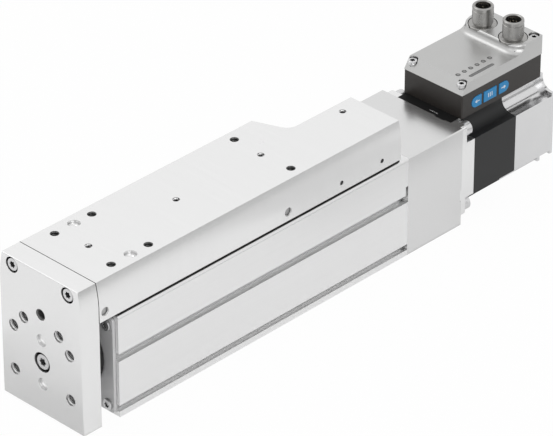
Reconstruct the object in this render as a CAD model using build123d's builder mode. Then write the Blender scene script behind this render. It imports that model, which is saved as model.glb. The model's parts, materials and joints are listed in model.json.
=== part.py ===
from build123d import *
from math import cos, radians, sin, sqrt, tan
import os

# A motor-driven miniature slide with a 100 mm stroke. Millimetres, +Z up.
# X runs across the slide, and +Y runs from the yoke towards the motor.
# The origin is on the centre line of the underside, at the front end of the profile body.

# Profile body
body_width = 60.0
body_height = 61.0
body_length = 215.0
bore_r = 17.5
axis_z = 31.6
edge_break = 0.6
side_line_drop = 1.6
side_line_height = 0.4
side_line_depth = 0.3
upper_slot_z = 36.0
upper_slot_mouth = 4.6
upper_slot_lip = 1.8
upper_slot_inner = 7.6
upper_slot_depth = 5.0
lower_slot_z = 5.2
lower_slot_mouth = 3.6
lower_slot_lip = 1.3
lower_slot_inner = 5.6
lower_slot_depth = 3.4
slot_exit_length = 1.8
slot_exit_rise = 5.5
end_screw_inset = 6.3
end_screw_length = 14.0

# Underside fixing holes
base_hole_dx = 16.0
base_hole_front = 40.0
base_hole_pitch = 100.0
base_hole_r = 2.1
base_hole_depth = 9.0
locating_r = 3.5
locating_depth = 1.6
locating_front = 20.0
locating_pitch = 140.0

# Slide plate and yoke plate
slide_gap = 2.0
slide_thickness = 23.2
slide_inset = 0.2
flank_run = 2.1
flank_rise = 7.0
slide_end_gap = 6.0
yoke_gap = 12.5
yoke_thickness = 12.6
yoke_bottom = 0.3
channel_gap = 0.75
cut_x = -7.2
cut_run = 55.4
cut_angle = 21.2
cut_fillet = 8.0
yoke_screw_dx = 20.3
yoke_screw_drop = 4.9
yoke_screw_length = 21.0
rod_screw_length = 20.0

# Holes in the slide plate and the yoke plate
top_hole_r = 2.5
top_hole_depth = 11.5
top_hole_dx = 20.7
top_hole_front = 5.0
top_hole_pitch = 26.0
top_hole_setback = 74.7
top_locating_y = 18.5
locating_pilot_r = 2.1
locating_pilot_depth = 8.0
side_plug_r = 2.5
side_plug_depth = 3.0
side_plug_sink = 1.0
side_plug_rise = 5.4
side_plug_front = 4.1
side_plug_setback = 86.0
side_hole_r = 1.3
side_hole_depth = 4.0
side_hole_setback = 45.7
side_hole_pitch = 31.0
yoke_hole_r = 3.4
yoke_hole_dx = 20.6
yoke_hole_dz = 13.4
yoke_upper_dx = 12.9
yoke_upper_dz = 21.5
yoke_top_hole_r = 3.25
yoke_top_hole_dz = 28.9
yoke_locating_dz = 13.3

# Guide rail and ball carriages
rail_width = 14.0
rail_height = 9.0
rail_rise = 3.0
rail_margin = 4.5
rail_screw_cover = 2.0
rail_screw_front = 9.0
rail_screw_end = 14.0
rail_screw_count = 4
groove_r = 1.4
groove_offset = 0.3
carriage_width = 34.0
carriage_seat = 2.0
carriage_height = 10.0
rail_floor_gap = 1.2
carriage_length = 40.0
carriage_cap = 4.0
carriage_front = 8.0
carriage_gap = 4.0
carriage_screw_inset = 4.4
carriage_screw_pitch = 26.0
carriage_screw_grip = 6.0
hole_margin = 1.0
pocket_margin = 1.5

# Piston rod, ball nut and ball screw
stroke = 100.0
rod_r = 10.0
rod_bore_gap = 1.2
rod_wall_front = 22.0
screw_r = 6.0
screw_tip_gap = 8.0
shoulder_length = 12.5
tip_guide_length = 5.0
tip_journal_step = 1.0
collar_gap = 1.1
collar_length = 6.0
nut_setback = 63.0
nut_length = 38.0
nut_r = 13.0
nut_flange_length = 5.0
guide_ring_length = 8.0
magnet_gap = 1.1
magnet_length = 4.0
nut_screw_inset = 2.2
buffer_bore_gap = 2.0

# Front cap, bush, wiper and buffer
cap_inset = 2.0
cap_thickness = 2.0
cap_spigot = 12.0
bush_wall = 2.6
bush_front = 1.0
buffer_r = 21.5
buffer_thickness = 3.0

# Coupling housing and screw bearing
housing_length = 43.0
spigot_length = 6.0
spigot_wall = 3.4
bearing_lip = 2.5
bearing_r = 15.0
bearing_length = 12.0
bearing_inner_r = 8.0
bearing_outer_wall = 3.4
journal_r = 5.0
end_journal_r = 4.0
shoulder_r = 7.6
retainer_thickness = 2.5
retainer_hole_r = 11.6
retainer_screw_step = 1.6
lock_nut_r = 9.0
lock_nut_length = 5.4
pry_slot_start = 9.5
pry_slot_length = 7.0
pry_slot_width = 1.1
pry_slot_depth = 1.4
housing_screw_dx = 13.0
housing_screw_inset = 6.1
housing_screw_grip = 9.0
motor_screw_grip = 9.0
retainer_screw_grip = 5.0
bearing_lip_step = 2.0
lock_nut_slot = 3.0

# Shaft coupling
coupling_r = 12.5
coupling_end_gap = 0.5
coupling_jaw_length = 6.0
coupling_gap = 1.0
jaw_inner_r = 5.2
jaw_count = 3
jaw_angle = 33.0
lobe_angle = 24.0
star_gap = 0.2

# Motor
motor_half = 28.2
motor_corner_r = 2.0
scallop_width = 10.7
scallop_fillet = 7.0
scallop_edge_r = 1.6
pilot_step = 4.0
pilot_length = 1.6
lug_thickness = 5.5
flange_thickness = 12.0
stack_length = 33.5
rear_cover_length = 31.5
rear_lip_length = 2.0
rear_lip_step = 2.0
motor_screw_inset = 4.63
tie_screw_wall = 2.4
back_iron_r = 18.2
pole_count = 8
pole_width = 4.0
pole_tip_r = 11.6
coil_wall = 2.0
coil_overhang = 2.4
pole_tip_height = 1.0
rotor_gap = 0.3
rotor_magnet_step = 0.7
rotor_magnet_length = 4.0
rotor_end_gap = 1.0
shaft_r = 4.0
shaft_end_gap = 0.5
motor_bearing_r = 11.0
motor_bearing_length = 7.0
motor_bearing_wall = 2.2
motor_bearing_setback = 2.0
encoder_magnet_r = 4.0
encoder_magnet_length = 2.5
encoder_gap = 1.5
board_thickness = 1.6
encoder_board_r = 15.0
encoder_chip = 5.0

# Electronics case and lid
case_half = 21.4
case_setback = 8.3
case_length = 65.0
case_height = 14.4
case_wall = 2.0
case_corner_r = 1.0
lid_front_rise = 6.6
lid_front_run = 4.5
lid_wall = 1.8
pad_rise = 5.2
pad_length = 20.6
pad_corner_inset = 8.4
pad_corner_run = 6.4
pad_face = 0.2
pad_crest_r = 1.4
pad_wall = 3.5
lid_screw_inset = 3.4
lid_screw_end = 3.1
lid_recess_r = 3.05
lid_recess_front = 2.9
lid_recess_rear = 3.0
lid_boss_r = 3.3
lid_boss_wall = 0.6
lid_screw_grip = 6.0
post_r = 2.4
post_side_inset = 3.0
post_end_inset = 4.0
post_height = 5.2
board_side_gap = 6.4
board_end_gap = 5.5
cable_port_width = 12.0
cable_port_length = 10.0
cable_port_rear = 9.0
cable_port_corner = 2.0
chip_size = 10.0
chip_height = 1.4
chip_places = ((0.0, -6.0), (4.0, 10.0))
board_screw_grip = 4.0
gasket_width = 0.8
gasket_depth = 0.6
gasket_inset = 0.6

# Keys, light windows and light bar
key_bottom = 3.2
key_height = 6.6
key_starts = (7.9, 17.6, 30.0)
key_widths = (7.8, 10.2, 7.8)
key_proud = 0.3
key_travel = 0.4
key_flange = 0.8
key_flange_height = 0.7
key_rest_gap = 0.1
key_slack = 0.15
key_names = ("left_key", "centre_key", "right_key")
switch_r = 1.5
switch_length = 0.8
key_board_thickness = 1.0
window_r = 1.45
window_gap = 5.8
window_front = 7.2
window_pitch = 5.12
window_count = 6
bar_inset = 4.0
bar_start = 10.0
bar_length = 19.6
bar_width = 2.2

# Round plug sockets
socket_inset = 10.25
socket_setback = 12.8
socket_r = 6.0
socket_rise = 11.4
socket_rim_r = 5.6
socket_rim_height = 1.2
socket_rim_break = 0.4
socket_neck_r = 5.55
socket_bore_r = 4.3
socket_recess = 7.4
socket_collar_r = 8.0
socket_collar_length = 1.5
socket_stem_r = 5.4
socket_stem_length = 5.6
socket_nut_width = 13.0
socket_nut_length = 2.4
pin_r = 0.5
pin_circle = 2.4
pin_rise = 5.0
pin_counts = (4, 8)

# Screw sizes, as thread radius, head radius and head height
m3 = (1.45, 2.7, 2.0)
m3_pan = (1.45, 2.7, 1.4)
m3_low = (1.45, 2.1, 1.6)
m3_long = (1.5, 2.0, 2.0)
m4 = (1.95, 3.5, 2.4)
m4_low = (1.95, 3.1, 1.3)
m4_tall = (1.95, 3.4, 3.8)
m5 = (2.45, 4.25, 5.0)
m6 = (2.95, 5.0, 4.6)
socket_share = 0.5
socket_depth_share = 0.6
head_sink = 0.4

# Clearances
seat_slack = 0.05
running_slack = 0.06
guide_slack = 0.08
free_slack = 0.3
head_slack = 0.35
air_gap = 0.3
near = 0.1

# Places worked out from the sizes above
body_middle_z = body_height / 2
end_screw_dx = body_width / 2 - end_screw_inset
end_screw_dz = body_middle_z - end_screw_inset
yoke_back = -yoke_gap
yoke_front = yoke_back - yoke_thickness
slide_bottom = body_height + slide_gap
slide_top = slide_bottom + slide_thickness
slide_half = body_width / 2 - slide_inset
slide_flat_half = slide_half - flank_run
flank_z = slide_bottom + flank_rise
slide_rear = body_length - slide_end_gap
slide_length = slide_rear - yoke_back
side_plug_z = slide_bottom + side_plug_rise
pocket_floor = body_height - carriage_seat
carriage_top = pocket_floor + carriage_height
rail_seat = carriage_top + rail_rise
rail_bottom = rail_seat - rail_height
groove_z = rail_bottom + rail_height / 2
carriage_whole = carriage_length + 2 * carriage_cap
carriage_pitch = carriage_whole + carriage_gap
carriage_screw_dx = carriage_width / 2 - carriage_screw_inset
channel_half = carriage_width / 2 + channel_gap
rod_bore_r = screw_r + rod_bore_gap
bush_r = rod_r + bush_wall
collar_r = bore_r - collar_gap
magnet_r = bore_r - magnet_gap
nut_front = body_length - nut_setback
nut_screw_circle = collar_r - nut_screw_inset
screw_front = nut_front - stroke - screw_tip_gap
housing_front = body_length
housing_rear = housing_front + housing_length
housing_screw_dz = body_middle_z - housing_screw_inset
bearing_front = housing_front + bearing_lip
bearing_rear = bearing_front + bearing_length
screw_rear = bearing_front - shoulder_length
retainer_screw_circle = bearing_r + retainer_screw_step
pilot_r = bearing_r + pilot_step
coupling_front = bearing_rear + lock_nut_length + coupling_gap
coupling_room = housing_rear - pilot_length - coupling_end_gap - coupling_front
coupling_hub_length = (coupling_room - coupling_jaw_length) / 2
star_core_r = jaw_inner_r - star_gap
jaws_front = coupling_front + coupling_hub_length
jaws_rear = jaws_front + coupling_jaw_length
coupling_rear = jaws_rear + coupling_hub_length
stack_front = housing_rear + flange_thickness
stack_rear = stack_front + stack_length
cover_rear = stack_rear + rear_cover_length
motor_top = axis_z + motor_half
motor_screw_d = motor_half - motor_screw_inset
tie_screw_circle = back_iron_r + tie_screw_wall
coil_inner_r = pole_tip_r + pole_tip_height
rotor_r = pole_tip_r - rotor_gap
rotor_magnet_r = rotor_r - rotor_magnet_step
case_front = housing_rear + case_setback
case_rear = case_front + case_length
case_bottom = motor_top
case_top = case_bottom + case_height
lid_top = case_top + lid_front_rise
pad_top = lid_top + pad_rise
pad_y = case_rear - pad_length
pad_foot_r = pad_rise - pad_crest_r - pad_face
pad_corner_x = case_half - pad_corner_inset
lid_screw_dx = case_half - lid_screw_inset
board_half = case_half - board_side_gap
board_length = case_length - 2 * board_end_gap
post_dx = board_half - post_side_inset
post_dy = board_length / 2 - post_end_inset
bar_x = case_half - bar_inset
window_x = bar_x - window_gap
socket_dx = case_half - socket_inset
socket_y = case_rear - socket_setback
socket_top = pad_top + socket_rise
screw_axis = (0, axis_z)


def section(y):
    """The plane across the slide at y: its own x is X, its own y is Z, and it faces the yoke."""
    return Plane.XZ.offset(-y)


def side_plane(x):
    """The plane along the slide at x: its own x is Y, its own y is Z, and it faces +X."""
    return Plane.YZ.offset(x)


def corners(dx, dz, middle=(0, 0)):
    """Four places round a middle point, dx and dz away from it."""
    return [(middle[0] + i * dx, middle[1] + j * dz) for i in (-1, 1) for j in (-1, 1)]


def ring(y_front, y_back, outer_r, inner_r=0.0, mode=Mode.ADD):
    """A round length on the drive axis, hollow where inner_r is given."""
    with BuildSketch(section(y_back)) as disc:
        with Locations(screw_axis):
            Circle(outer_r)
            if inner_r:
                Circle(inner_r, mode=Mode.SUBTRACT)
    extrude(disc.sketch, amount=y_back - y_front, mode=mode)


def round_holes(plane, places, radius, depth):
    """Holes cut from a plane, against its facing, or along it where the depth is negative."""
    with BuildSketch(plane) as mouths:
        with Locations(*places):
            Circle(radius)
    extrude(mouths.sketch, amount=-depth, mode=Mode.SUBTRACT)


def cap_screws(plane, places, size, length, driven=True):
    """Cap screws, with heads on the plane and shanks into it. Driven ones have a hexagon socket."""
    thread_r, head_r, head_height = size
    with BuildSketch(plane) as heads:
        with Locations(*places):
            Circle(head_r)
    extrude(heads.sketch, amount=head_height)
    with BuildSketch(plane) as shanks:
        with Locations(*places):
            Circle(thread_r)
    extrude(shanks.sketch, amount=-length)
    if driven:
        with BuildSketch(plane.offset(head_height)) as sockets:
            with Locations(*places):
                RegularPolygon(head_r * socket_share, 6)
        extrude(sockets.sketch, amount=-head_height * socket_depth_share, mode=Mode.SUBTRACT)


def polar(radius, count, start=0.0):
    """Places on a circle round the drive axis."""
    angles = [radians(start + i * 360 / count) for i in range(count)]
    return [(radius * cos(a), axis_z + radius * sin(a)) for a in angles]


os.makedirs("parts", exist_ok=True)

# Profile body: an extrusion with two slots along each side and a bore for the rod and nut
with BuildPart() as profile_body:
    with BuildSketch(section(body_length)):
        with Locations((0, body_middle_z)):
            Rectangle(body_width, body_height)
        with Locations(screw_axis):
            Circle(bore_r, mode=Mode.SUBTRACT)
        for side in (-1, 1):
            for z, mouth, lip, inner, depth in (
                (upper_slot_z, upper_slot_mouth, upper_slot_lip, upper_slot_inner, upper_slot_depth),
                (lower_slot_z, lower_slot_mouth, lower_slot_lip, lower_slot_inner, lower_slot_depth),
            ):
                with Locations((side * (body_width / 2 - lip / 2), z)):
                    Rectangle(lip, mouth, mode=Mode.SUBTRACT)
                with Locations((side * (body_width / 2 - (lip + depth) / 2), z)):
                    Rectangle(depth - lip, inner, mode=Mode.SUBTRACT)
            with Locations((side * (body_width - side_line_depth) / 2, body_height - side_line_drop)):
                Rectangle(side_line_depth, side_line_height, mode=Mode.SUBTRACT)
        with Locations(*corners(end_screw_dx, end_screw_dz, (0, body_middle_z))):
            Circle(m4[0] + seat_slack, mode=Mode.SUBTRACT)
    extrude(amount=body_length)
    long_edges = profile_body.edges().filter_by(Axis.Y)
    outer_edges = [e for e in long_edges if abs(e.center().X) > body_width / 2 - edge_break / 2]
    chamfer([e for e in outer_edges if e.center().Z > body_height - edge_break / 2], edge_break)
    # Pocket in the top for the ball carriages
    with BuildSketch(Plane.XY.offset(body_height)):
        with Locations((0, carriage_front + (carriage_pitch + carriage_whole) / 2)):
            Rectangle(
                carriage_width + 2 * seat_slack,
                carriage_pitch + carriage_whole + 2 * pocket_margin,
            )
    extrude(amount=-carriage_seat, mode=Mode.SUBTRACT)
    # Openings at the rear ends of the upper slots, where nuts drop in
    exit_height = upper_slot_mouth + slot_exit_rise
    with Locations(
        *[
            (
                side * (body_width / 2 - upper_slot_lip / 2),
                body_length - slot_exit_length / 2,
                upper_slot_z - upper_slot_mouth / 2 + exit_height / 2,
            )
            for side in (-1, 1)
        ]
    ):
        Box(upper_slot_lip, slot_exit_length, exit_height, mode=Mode.SUBTRACT)
    # Threaded and locating holes in the underside
    base_places = [
        (side * base_hole_dx, base_hole_front + i * base_hole_pitch) for side in (-1, 1) for i in (0, 1)
    ]
    locating_places = [(0, locating_front + i * locating_pitch) for i in (0, 1)]
    round_holes(Plane.XY, base_places, base_hole_r, -base_hole_depth)
    round_holes(Plane.XY, locating_places, locating_r, -locating_depth)
    # Screw holes under the carriages and for the coupling housing
    carriage_rows = [
        carriage_front + i * carriage_pitch + carriage_whole / 2 + j * carriage_screw_pitch / 2
        for i in (0, 1)
        for j in (-1, 1)
    ]
    carriage_screw_places = [(side * carriage_screw_dx, y) for side in (-1, 1) for y in carriage_rows]
    carriage_hole_depth = carriage_screw_grip + hole_margin
    round_holes(Plane.XY.offset(pocket_floor), carriage_screw_places, m3[0] + seat_slack, carriage_hole_depth)
    housing_screw_places = corners(housing_screw_dx, housing_screw_dz, (0, body_middle_z))
    housing_hole_depth = housing_screw_grip + hole_margin
    round_holes(section(body_length), housing_screw_places, m4[0] + seat_slack, -housing_hole_depth)
profile_body.part.label = "profile_body"
export_step(profile_body.part, "parts/profile_body.step")

# Front cap: a plate on the front end of the body, with a spigot that holds the bush
end_screw_places = corners(end_screw_dx, end_screw_dz, (0, body_middle_z))
spigot_r = bore_r - seat_slack
with BuildPart() as front_cap:
    with BuildSketch(section(0)):
        with Locations((0, body_middle_z)):
            RectangleRounded(body_width - 2 * cap_inset, body_height - 2 * cap_inset, cap_inset)
    extrude(amount=cap_thickness)
    ring(0, cap_spigot, spigot_r)
    ring(-cap_thickness, cap_spigot, bush_r, mode=Mode.SUBTRACT)
    round_holes(section(-cap_thickness), end_screw_places, m4[0] + head_slack / 2, cap_thickness)
front_cap.part.label = "front_cap"
export_step(front_cap.part, "parts/front_cap.step")

with BuildPart() as front_cap_screws:
    cap_screws(section(-cap_thickness), end_screw_places, m4_low, end_screw_length)
front_cap_screws.part.label = "front_cap_screws"
export_step(front_cap_screws.part, "parts/front_cap_screws.step")

# Bush and wiper of the piston rod, and the buffer ring in front of the cap
with BuildPart() as rod_bush:
    ring(bush_front, cap_spigot, bush_r, rod_r + running_slack)
rod_bush.part.label = "rod_bush"
export_step(rod_bush.part, "parts/rod_bush.step")

with BuildPart() as rod_wiper:
    ring(-cap_thickness, bush_front, bush_r, rod_r + running_slack)
rod_wiper.part.label = "rod_wiper"
export_step(rod_wiper.part, "parts/rod_wiper.step")

with BuildPart() as end_buffer:
    ring(-cap_thickness - buffer_thickness, -cap_thickness, buffer_r, rod_r + buffer_bore_gap)
    front_rim = end_buffer.faces().sort_by(Axis.Y)[0].outer_wire().edges()
    chamfer(front_rim, buffer_thickness / 3)
end_buffer.part.label = "end_buffer"
export_step(end_buffer.part, "parts/end_buffer.step")

# Ball carriages: two blocks that hold the rail, fixed in the pocket of the body
carriage_starts = [carriage_front + i * carriage_pitch for i in (0, 1)]


def carriage_profile(wrap_slack):
    """Cross-section of a carriage round the rail, with a ball track on each side of the slot."""
    slot_half = rail_width / 2 + wrap_slack
    with BuildSketch(Plane.XZ) as profile:
        with Locations((0, pocket_floor + carriage_height / 2)):
            Rectangle(carriage_width, carriage_height)
        slot_floor = rail_bottom - rail_floor_gap
        with Locations((0, (slot_floor + carriage_top) / 2)):
            Rectangle(2 * slot_half, carriage_top - slot_floor, mode=Mode.SUBTRACT)
        for side in (-1, 1):
            with Locations((side * (rail_width / 2 + groove_offset), groove_z)):
                Circle(groove_r - wrap_slack)
    return profile.sketch


with BuildPart() as guide_carriages:
    for start in carriage_starts:
        block = carriage_profile(guide_slack)
        extrude(block.moved(Location((0, start + carriage_cap, 0))), amount=carriage_length, dir=(0, 1, 0))
    round_holes(Plane.XY.offset(carriage_top), carriage_screw_places, m3[1] + head_slack / 2, m3[2] + air_gap)
    round_holes(Plane.XY.offset(carriage_top), carriage_screw_places, m3[0] + head_slack / 2, carriage_height)
guide_carriages.part.label = "guide_carriages"
export_step(guide_carriages.part, "parts/guide_carriages.step")

with BuildPart() as carriage_end_caps:
    for start in carriage_starts:
        for y in (start, start + carriage_cap + carriage_length):
            cap = carriage_profile(2 * guide_slack)
            extrude(cap.moved(Location((0, y, 0))), amount=carriage_cap, dir=(0, 1, 0))
carriage_end_caps.part.label = "carriage_end_caps"
export_step(carriage_end_caps.part, "parts/carriage_end_caps.step")

with BuildPart() as carriage_screws:
    head_seat = carriage_top - m3[2] - air_gap
    cap_screws(
        Plane.XY.offset(head_seat),
        carriage_screw_places,
        m3,
        head_seat - pocket_floor + carriage_screw_grip,
        driven=False,
    )
carriage_screws.part.label = "carriage_screws"
export_step(carriage_screws.part, "parts/carriage_screws.step")


def slide_profile(bottom, half_width):
    """Outline of the slide plate or the yoke plate, with flanks that curve in to the flat top."""
    flat_half = slide_flat_half - slide_half + half_width
    with BuildSketch(Plane.XZ) as profile:
        with BuildLine():
            Polyline(
                (-half_width, flank_z),
                (-half_width, bottom),
                (half_width, bottom),
                (half_width, flank_z),
            )
            TangentArc((half_width, flank_z), (flat_half, slide_top), tangent=(0, 1))
            Line((flat_half, slide_top), (-flat_half, slide_top))
            TangentArc((-half_width, flank_z), (-flat_half, slide_top), tangent=(0, 1))
        make_face()
    return profile.sketch


# Slide plate: runs over the whole body, hollowed below for the guide, and cut away at the far rear
rail_screw_pitch = (slide_rear - rail_screw_end - rail_screw_front) / (rail_screw_count - 1)
rail_screw_places = [(0, rail_screw_front + i * rail_screw_pitch) for i in range(rail_screw_count)]
yoke_screw_sink = m5[2] + head_sink
with BuildPart() as slide_plate:
    block = slide_profile(slide_bottom, slide_half)
    extrude(block.moved(Location((0, yoke_back, 0))), amount=slide_length, dir=(0, 1, 0))
    with BuildSketch(section(yoke_back)):
        with Locations((0, (slide_bottom + rail_seat) / 2)):
            Rectangle(2 * channel_half, rail_seat - slide_bottom)
    extrude(amount=-slide_length, mode=Mode.SUBTRACT)
    # Stepped rear corner on the far side
    cut_start = slide_rear - cut_run
    step_rise = (cut_x + slide_half) * tan(radians(cut_angle))
    with BuildSketch(Plane.XY.offset(slide_bottom)) as rear_cut:
        outside = slide_half + edge_break
        Polygon(
            (-outside, cut_start - edge_break * tan(radians(cut_angle))),
            (cut_x, cut_start + step_rise),
            (cut_x, slide_rear + edge_break),
            (-outside, slide_rear + edge_break),
            align=None,
        )
        inner_corner = rear_cut.vertices().filter_by(lambda v: v.X > cut_x - near and v.Y < slide_rear)
        fillet(inner_corner, cut_fillet)
    extrude(amount=slide_top - slide_bottom, mode=Mode.SUBTRACT)
    # Holes in the top
    top_plane = Plane.XY.offset(slide_top)
    top_rows = (top_hole_front, top_hole_front + top_hole_pitch, slide_rear - top_hole_setback)
    top_places = [(side * top_hole_dx, y) for side in (-1, 1) for y in top_rows]
    top_locating = [(side * top_hole_dx, top_locating_y) for side in (-1, 1)]
    round_holes(top_plane, top_places, top_hole_r, top_hole_depth)
    round_holes(top_plane, top_locating, locating_r, locating_depth)
    round_holes(top_plane, top_locating, locating_pilot_r, locating_pilot_depth)
    round_holes(top_plane, rail_screw_places, m4[0] + seat_slack, slide_top - rail_seat)
    # Holes in the near side and in the front end
    near_side = side_plane(slide_half)
    plug_rows = (yoke_back + side_plug_front, slide_rear - side_plug_setback)
    plug_places = [(y, side_plug_z) for y in plug_rows]
    side_hole_front = slide_rear - side_hole_setback
    side_places = [(side_hole_front + i * side_hole_pitch, side_plug_z) for i in (0, 1)]
    round_holes(near_side, plug_places, side_plug_r, side_plug_depth)
    round_holes(near_side, side_places, side_hole_r, side_hole_depth)
    yoke_screw_places = [(side * yoke_screw_dx, slide_top - yoke_screw_drop) for side in (-1, 1)]
    head_face = yoke_front + yoke_screw_sink
    thread_depth = head_face + yoke_screw_length - yoke_back
    round_holes(section(yoke_back), yoke_screw_places, m5[0] + seat_slack, thread_depth)
slide_plate.part.label = "slide_plate"
export_step(slide_plate.part, "parts/slide_plate.step")

with BuildPart() as slide_side_plugs:
    with BuildSketch(near_side.offset(-side_plug_depth)):
        with Locations(*plug_places):
            Circle(side_plug_r - seat_slack)
    extrude(amount=side_plug_depth - side_plug_sink)
slide_side_plugs.part.label = "slide_side_plugs"
export_step(slide_side_plugs.part, "parts/slide_side_plugs.step")

# Guide rail under the slide plate, with a ball track in each side
rail_front = yoke_back + rail_margin
rail_length = slide_rear - rail_margin - rail_front
rail_head_seat = rail_bottom + m4_tall[2] + air_gap
with BuildPart() as guide_rail:
    with BuildSketch(section(rail_front)):
        with Locations((0, (rail_bottom + rail_seat) / 2)):
            Rectangle(rail_width, rail_height)
        for side in (-1, 1):
            with Locations((side * (rail_width / 2 + groove_offset), groove_z)):
                Circle(groove_r, mode=Mode.SUBTRACT)
    extrude(amount=-rail_length)
    under_rail = Plane.XY.offset(rail_bottom)
    round_holes(under_rail, rail_screw_places, m4_tall[1] + head_slack / 2, rail_bottom - rail_head_seat)
    round_holes(under_rail, rail_screw_places, m4_tall[0] + head_slack / 2, -rail_height)
guide_rail.part.label = "guide_rail"
export_step(guide_rail.part, "parts/guide_rail.step")

with BuildPart() as rail_screws:
    head_plane = Plane(origin=(0, 0, rail_head_seat), x_dir=(-1, 0, 0), z_dir=(0, 0, -1))
    rail_screw_length = slide_top - rail_screw_cover - rail_head_seat
    cap_screws(head_plane, rail_screw_places, m4_tall, rail_screw_length, driven=False)
rail_screws.part.label = "rail_screws"
export_step(rail_screws.part, "parts/rail_screws.step")

# Yoke plate: closes the front, and carries the bolt patterns for the load
yoke_face = section(yoke_front)
yoke_threads = corners(yoke_hole_dx, yoke_hole_dz, screw_axis)
yoke_threads += [(side * yoke_upper_dx, axis_z + yoke_upper_dz) for side in (-1, 1)]
yoke_locating = [(0, axis_z + side * yoke_locating_dz) for side in (-1, 1)]
rod_screw_sink = m6[2] + head_sink
with BuildPart() as yoke_plate:
    block = slide_profile(yoke_bottom, slide_half)
    extrude(block.moved(Location((0, yoke_front, 0))), amount=yoke_thickness, dir=(0, 1, 0))
    front_face = yoke_plate.faces().sort_by(Axis.Y)[0]
    chamfer(front_face.outer_wire().edges(), edge_break / 2)
    round_holes(yoke_face, yoke_threads, yoke_hole_r, yoke_thickness)
    round_holes(yoke_face, [(0, axis_z + yoke_top_hole_dz)], yoke_top_hole_r, yoke_thickness)
    round_holes(yoke_face, yoke_locating, locating_r, locating_depth)
    round_holes(yoke_face, yoke_locating, locating_pilot_r, locating_pilot_depth)
    round_holes(yoke_face, yoke_screw_places, m5[1] + head_slack / 2, yoke_screw_sink)
    round_holes(yoke_face, yoke_screw_places, m5[0] + head_slack / 2, yoke_thickness)
    round_holes(yoke_face, [screw_axis], m6[1] + 2 * head_slack, rod_screw_sink)
    round_holes(yoke_face, [screw_axis], m6[0] + head_slack / 2, yoke_thickness)
yoke_plate.part.label = "yoke_plate"
export_step(yoke_plate.part, "parts/yoke_plate.step")

with BuildPart() as yoke_screws:
    cap_screws(section(head_face), yoke_screw_places, m5, yoke_screw_length)
yoke_screws.part.label = "yoke_screws"
export_step(yoke_screws.part, "parts/yoke_screws.step")

rod_screw_seat = yoke_front + rod_screw_sink
with BuildPart() as rod_screw:
    cap_screws(section(rod_screw_seat), [screw_axis], m6, rod_screw_length)
rod_screw.part.label = "rod_screw"
export_step(rod_screw.part, "parts/rod_screw.step")

# Piston rod: solid behind the yoke, then hollow round the ball screw, with a collar for the nut
nut_screw_places = polar(nut_screw_circle, 4, 45)
with BuildPart() as piston_rod:
    ring(yoke_back, nut_front, rod_r)
    ring(nut_front - collar_length, nut_front, collar_r)
    ring(yoke_back, rod_screw_seat + rod_screw_length, m6[0] + seat_slack, mode=Mode.SUBTRACT)
    ring(yoke_back + rod_wall_front, nut_front, rod_bore_r, mode=Mode.SUBTRACT)
    round_holes(section(nut_front), nut_screw_places, m3[0] + seat_slack, -collar_length)
piston_rod.part.label = "piston_rod"
export_step(piston_rod.part, "parts/piston_rod.step")

# Ball nut, with the position magnet between two guide rings behind the flange
nut_rear = nut_front + nut_length
flange_rear = nut_front + nut_flange_length
magnet_front = flange_rear + guide_ring_length
magnet_rear = magnet_front + magnet_length
with BuildPart() as ball_nut:
    ring(nut_front, nut_rear, nut_r)
    ring(nut_front, flange_rear, collar_r)
    ring(nut_front, nut_rear, screw_r + guide_slack, mode=Mode.SUBTRACT)
    round_holes(section(nut_front), nut_screw_places, m3[0] + seat_slack, nut_flange_length)
ball_nut.part.label = "ball_nut"
export_step(ball_nut.part, "parts/ball_nut.step")

with BuildPart() as nut_screws:
    with BuildSketch(section(nut_front - collar_length)):
        with Locations(*nut_screw_places):
            Circle(m3[0])
    extrude(amount=-(collar_length + nut_flange_length))
nut_screws.part.label = "nut_screws"
export_step(nut_screws.part, "parts/nut_screws.step")

with BuildPart() as nut_guide_rings:
    for y in (flange_rear, magnet_rear):
        ring(y, y + guide_ring_length, bore_r - guide_slack, nut_r)
nut_guide_rings.part.label = "nut_guide_rings"
export_step(nut_guide_rings.part, "parts/nut_guide_rings.step")

with BuildPart() as position_magnet:
    ring(magnet_front, magnet_rear, magnet_r, nut_r)
position_magnet.part.label = "position_magnet"
export_step(position_magnet.part, "parts/position_magnet.step")

# Ball screw: thread, shoulder, bearing journal and end journal, on a guide at its front tip
with BuildPart() as ball_screw:
    ring(screw_front, bearing_front, screw_r)
    ring(screw_rear, bearing_front, shoulder_r)
    ring(bearing_front, bearing_rear + lock_nut_length, journal_r)
    ring(bearing_rear + lock_nut_length, jaws_front, end_journal_r)
    tip_journal_r = screw_r - tip_journal_step
    ring(screw_front, screw_front + tip_guide_length, screw_r, tip_journal_r, Mode.SUBTRACT)
ball_screw.part.label = "ball_screw"
export_step(ball_screw.part, "parts/ball_screw.step")

with BuildPart() as screw_tip_guide:
    ring(screw_front, screw_front + tip_guide_length, rod_bore_r - guide_slack, tip_journal_r)
screw_tip_guide.part.label = "screw_tip_guide"
export_step(screw_tip_guide.part, "parts/screw_tip_guide.step")

with BuildPart() as lock_nut:
    with BuildSketch(section(bearing_rear + lock_nut_length)):
        with Locations(screw_axis):
            Circle(lock_nut_r)
            Circle(journal_r, mode=Mode.SUBTRACT)
        with Locations(*polar(lock_nut_r, 4)):
            Rectangle(lock_nut_slot, lock_nut_slot, mode=Mode.SUBTRACT)
    extrude(amount=lock_nut_length)
lock_nut.part.label = "lock_nut"
export_step(lock_nut.part, "parts/lock_nut.step")

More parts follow.
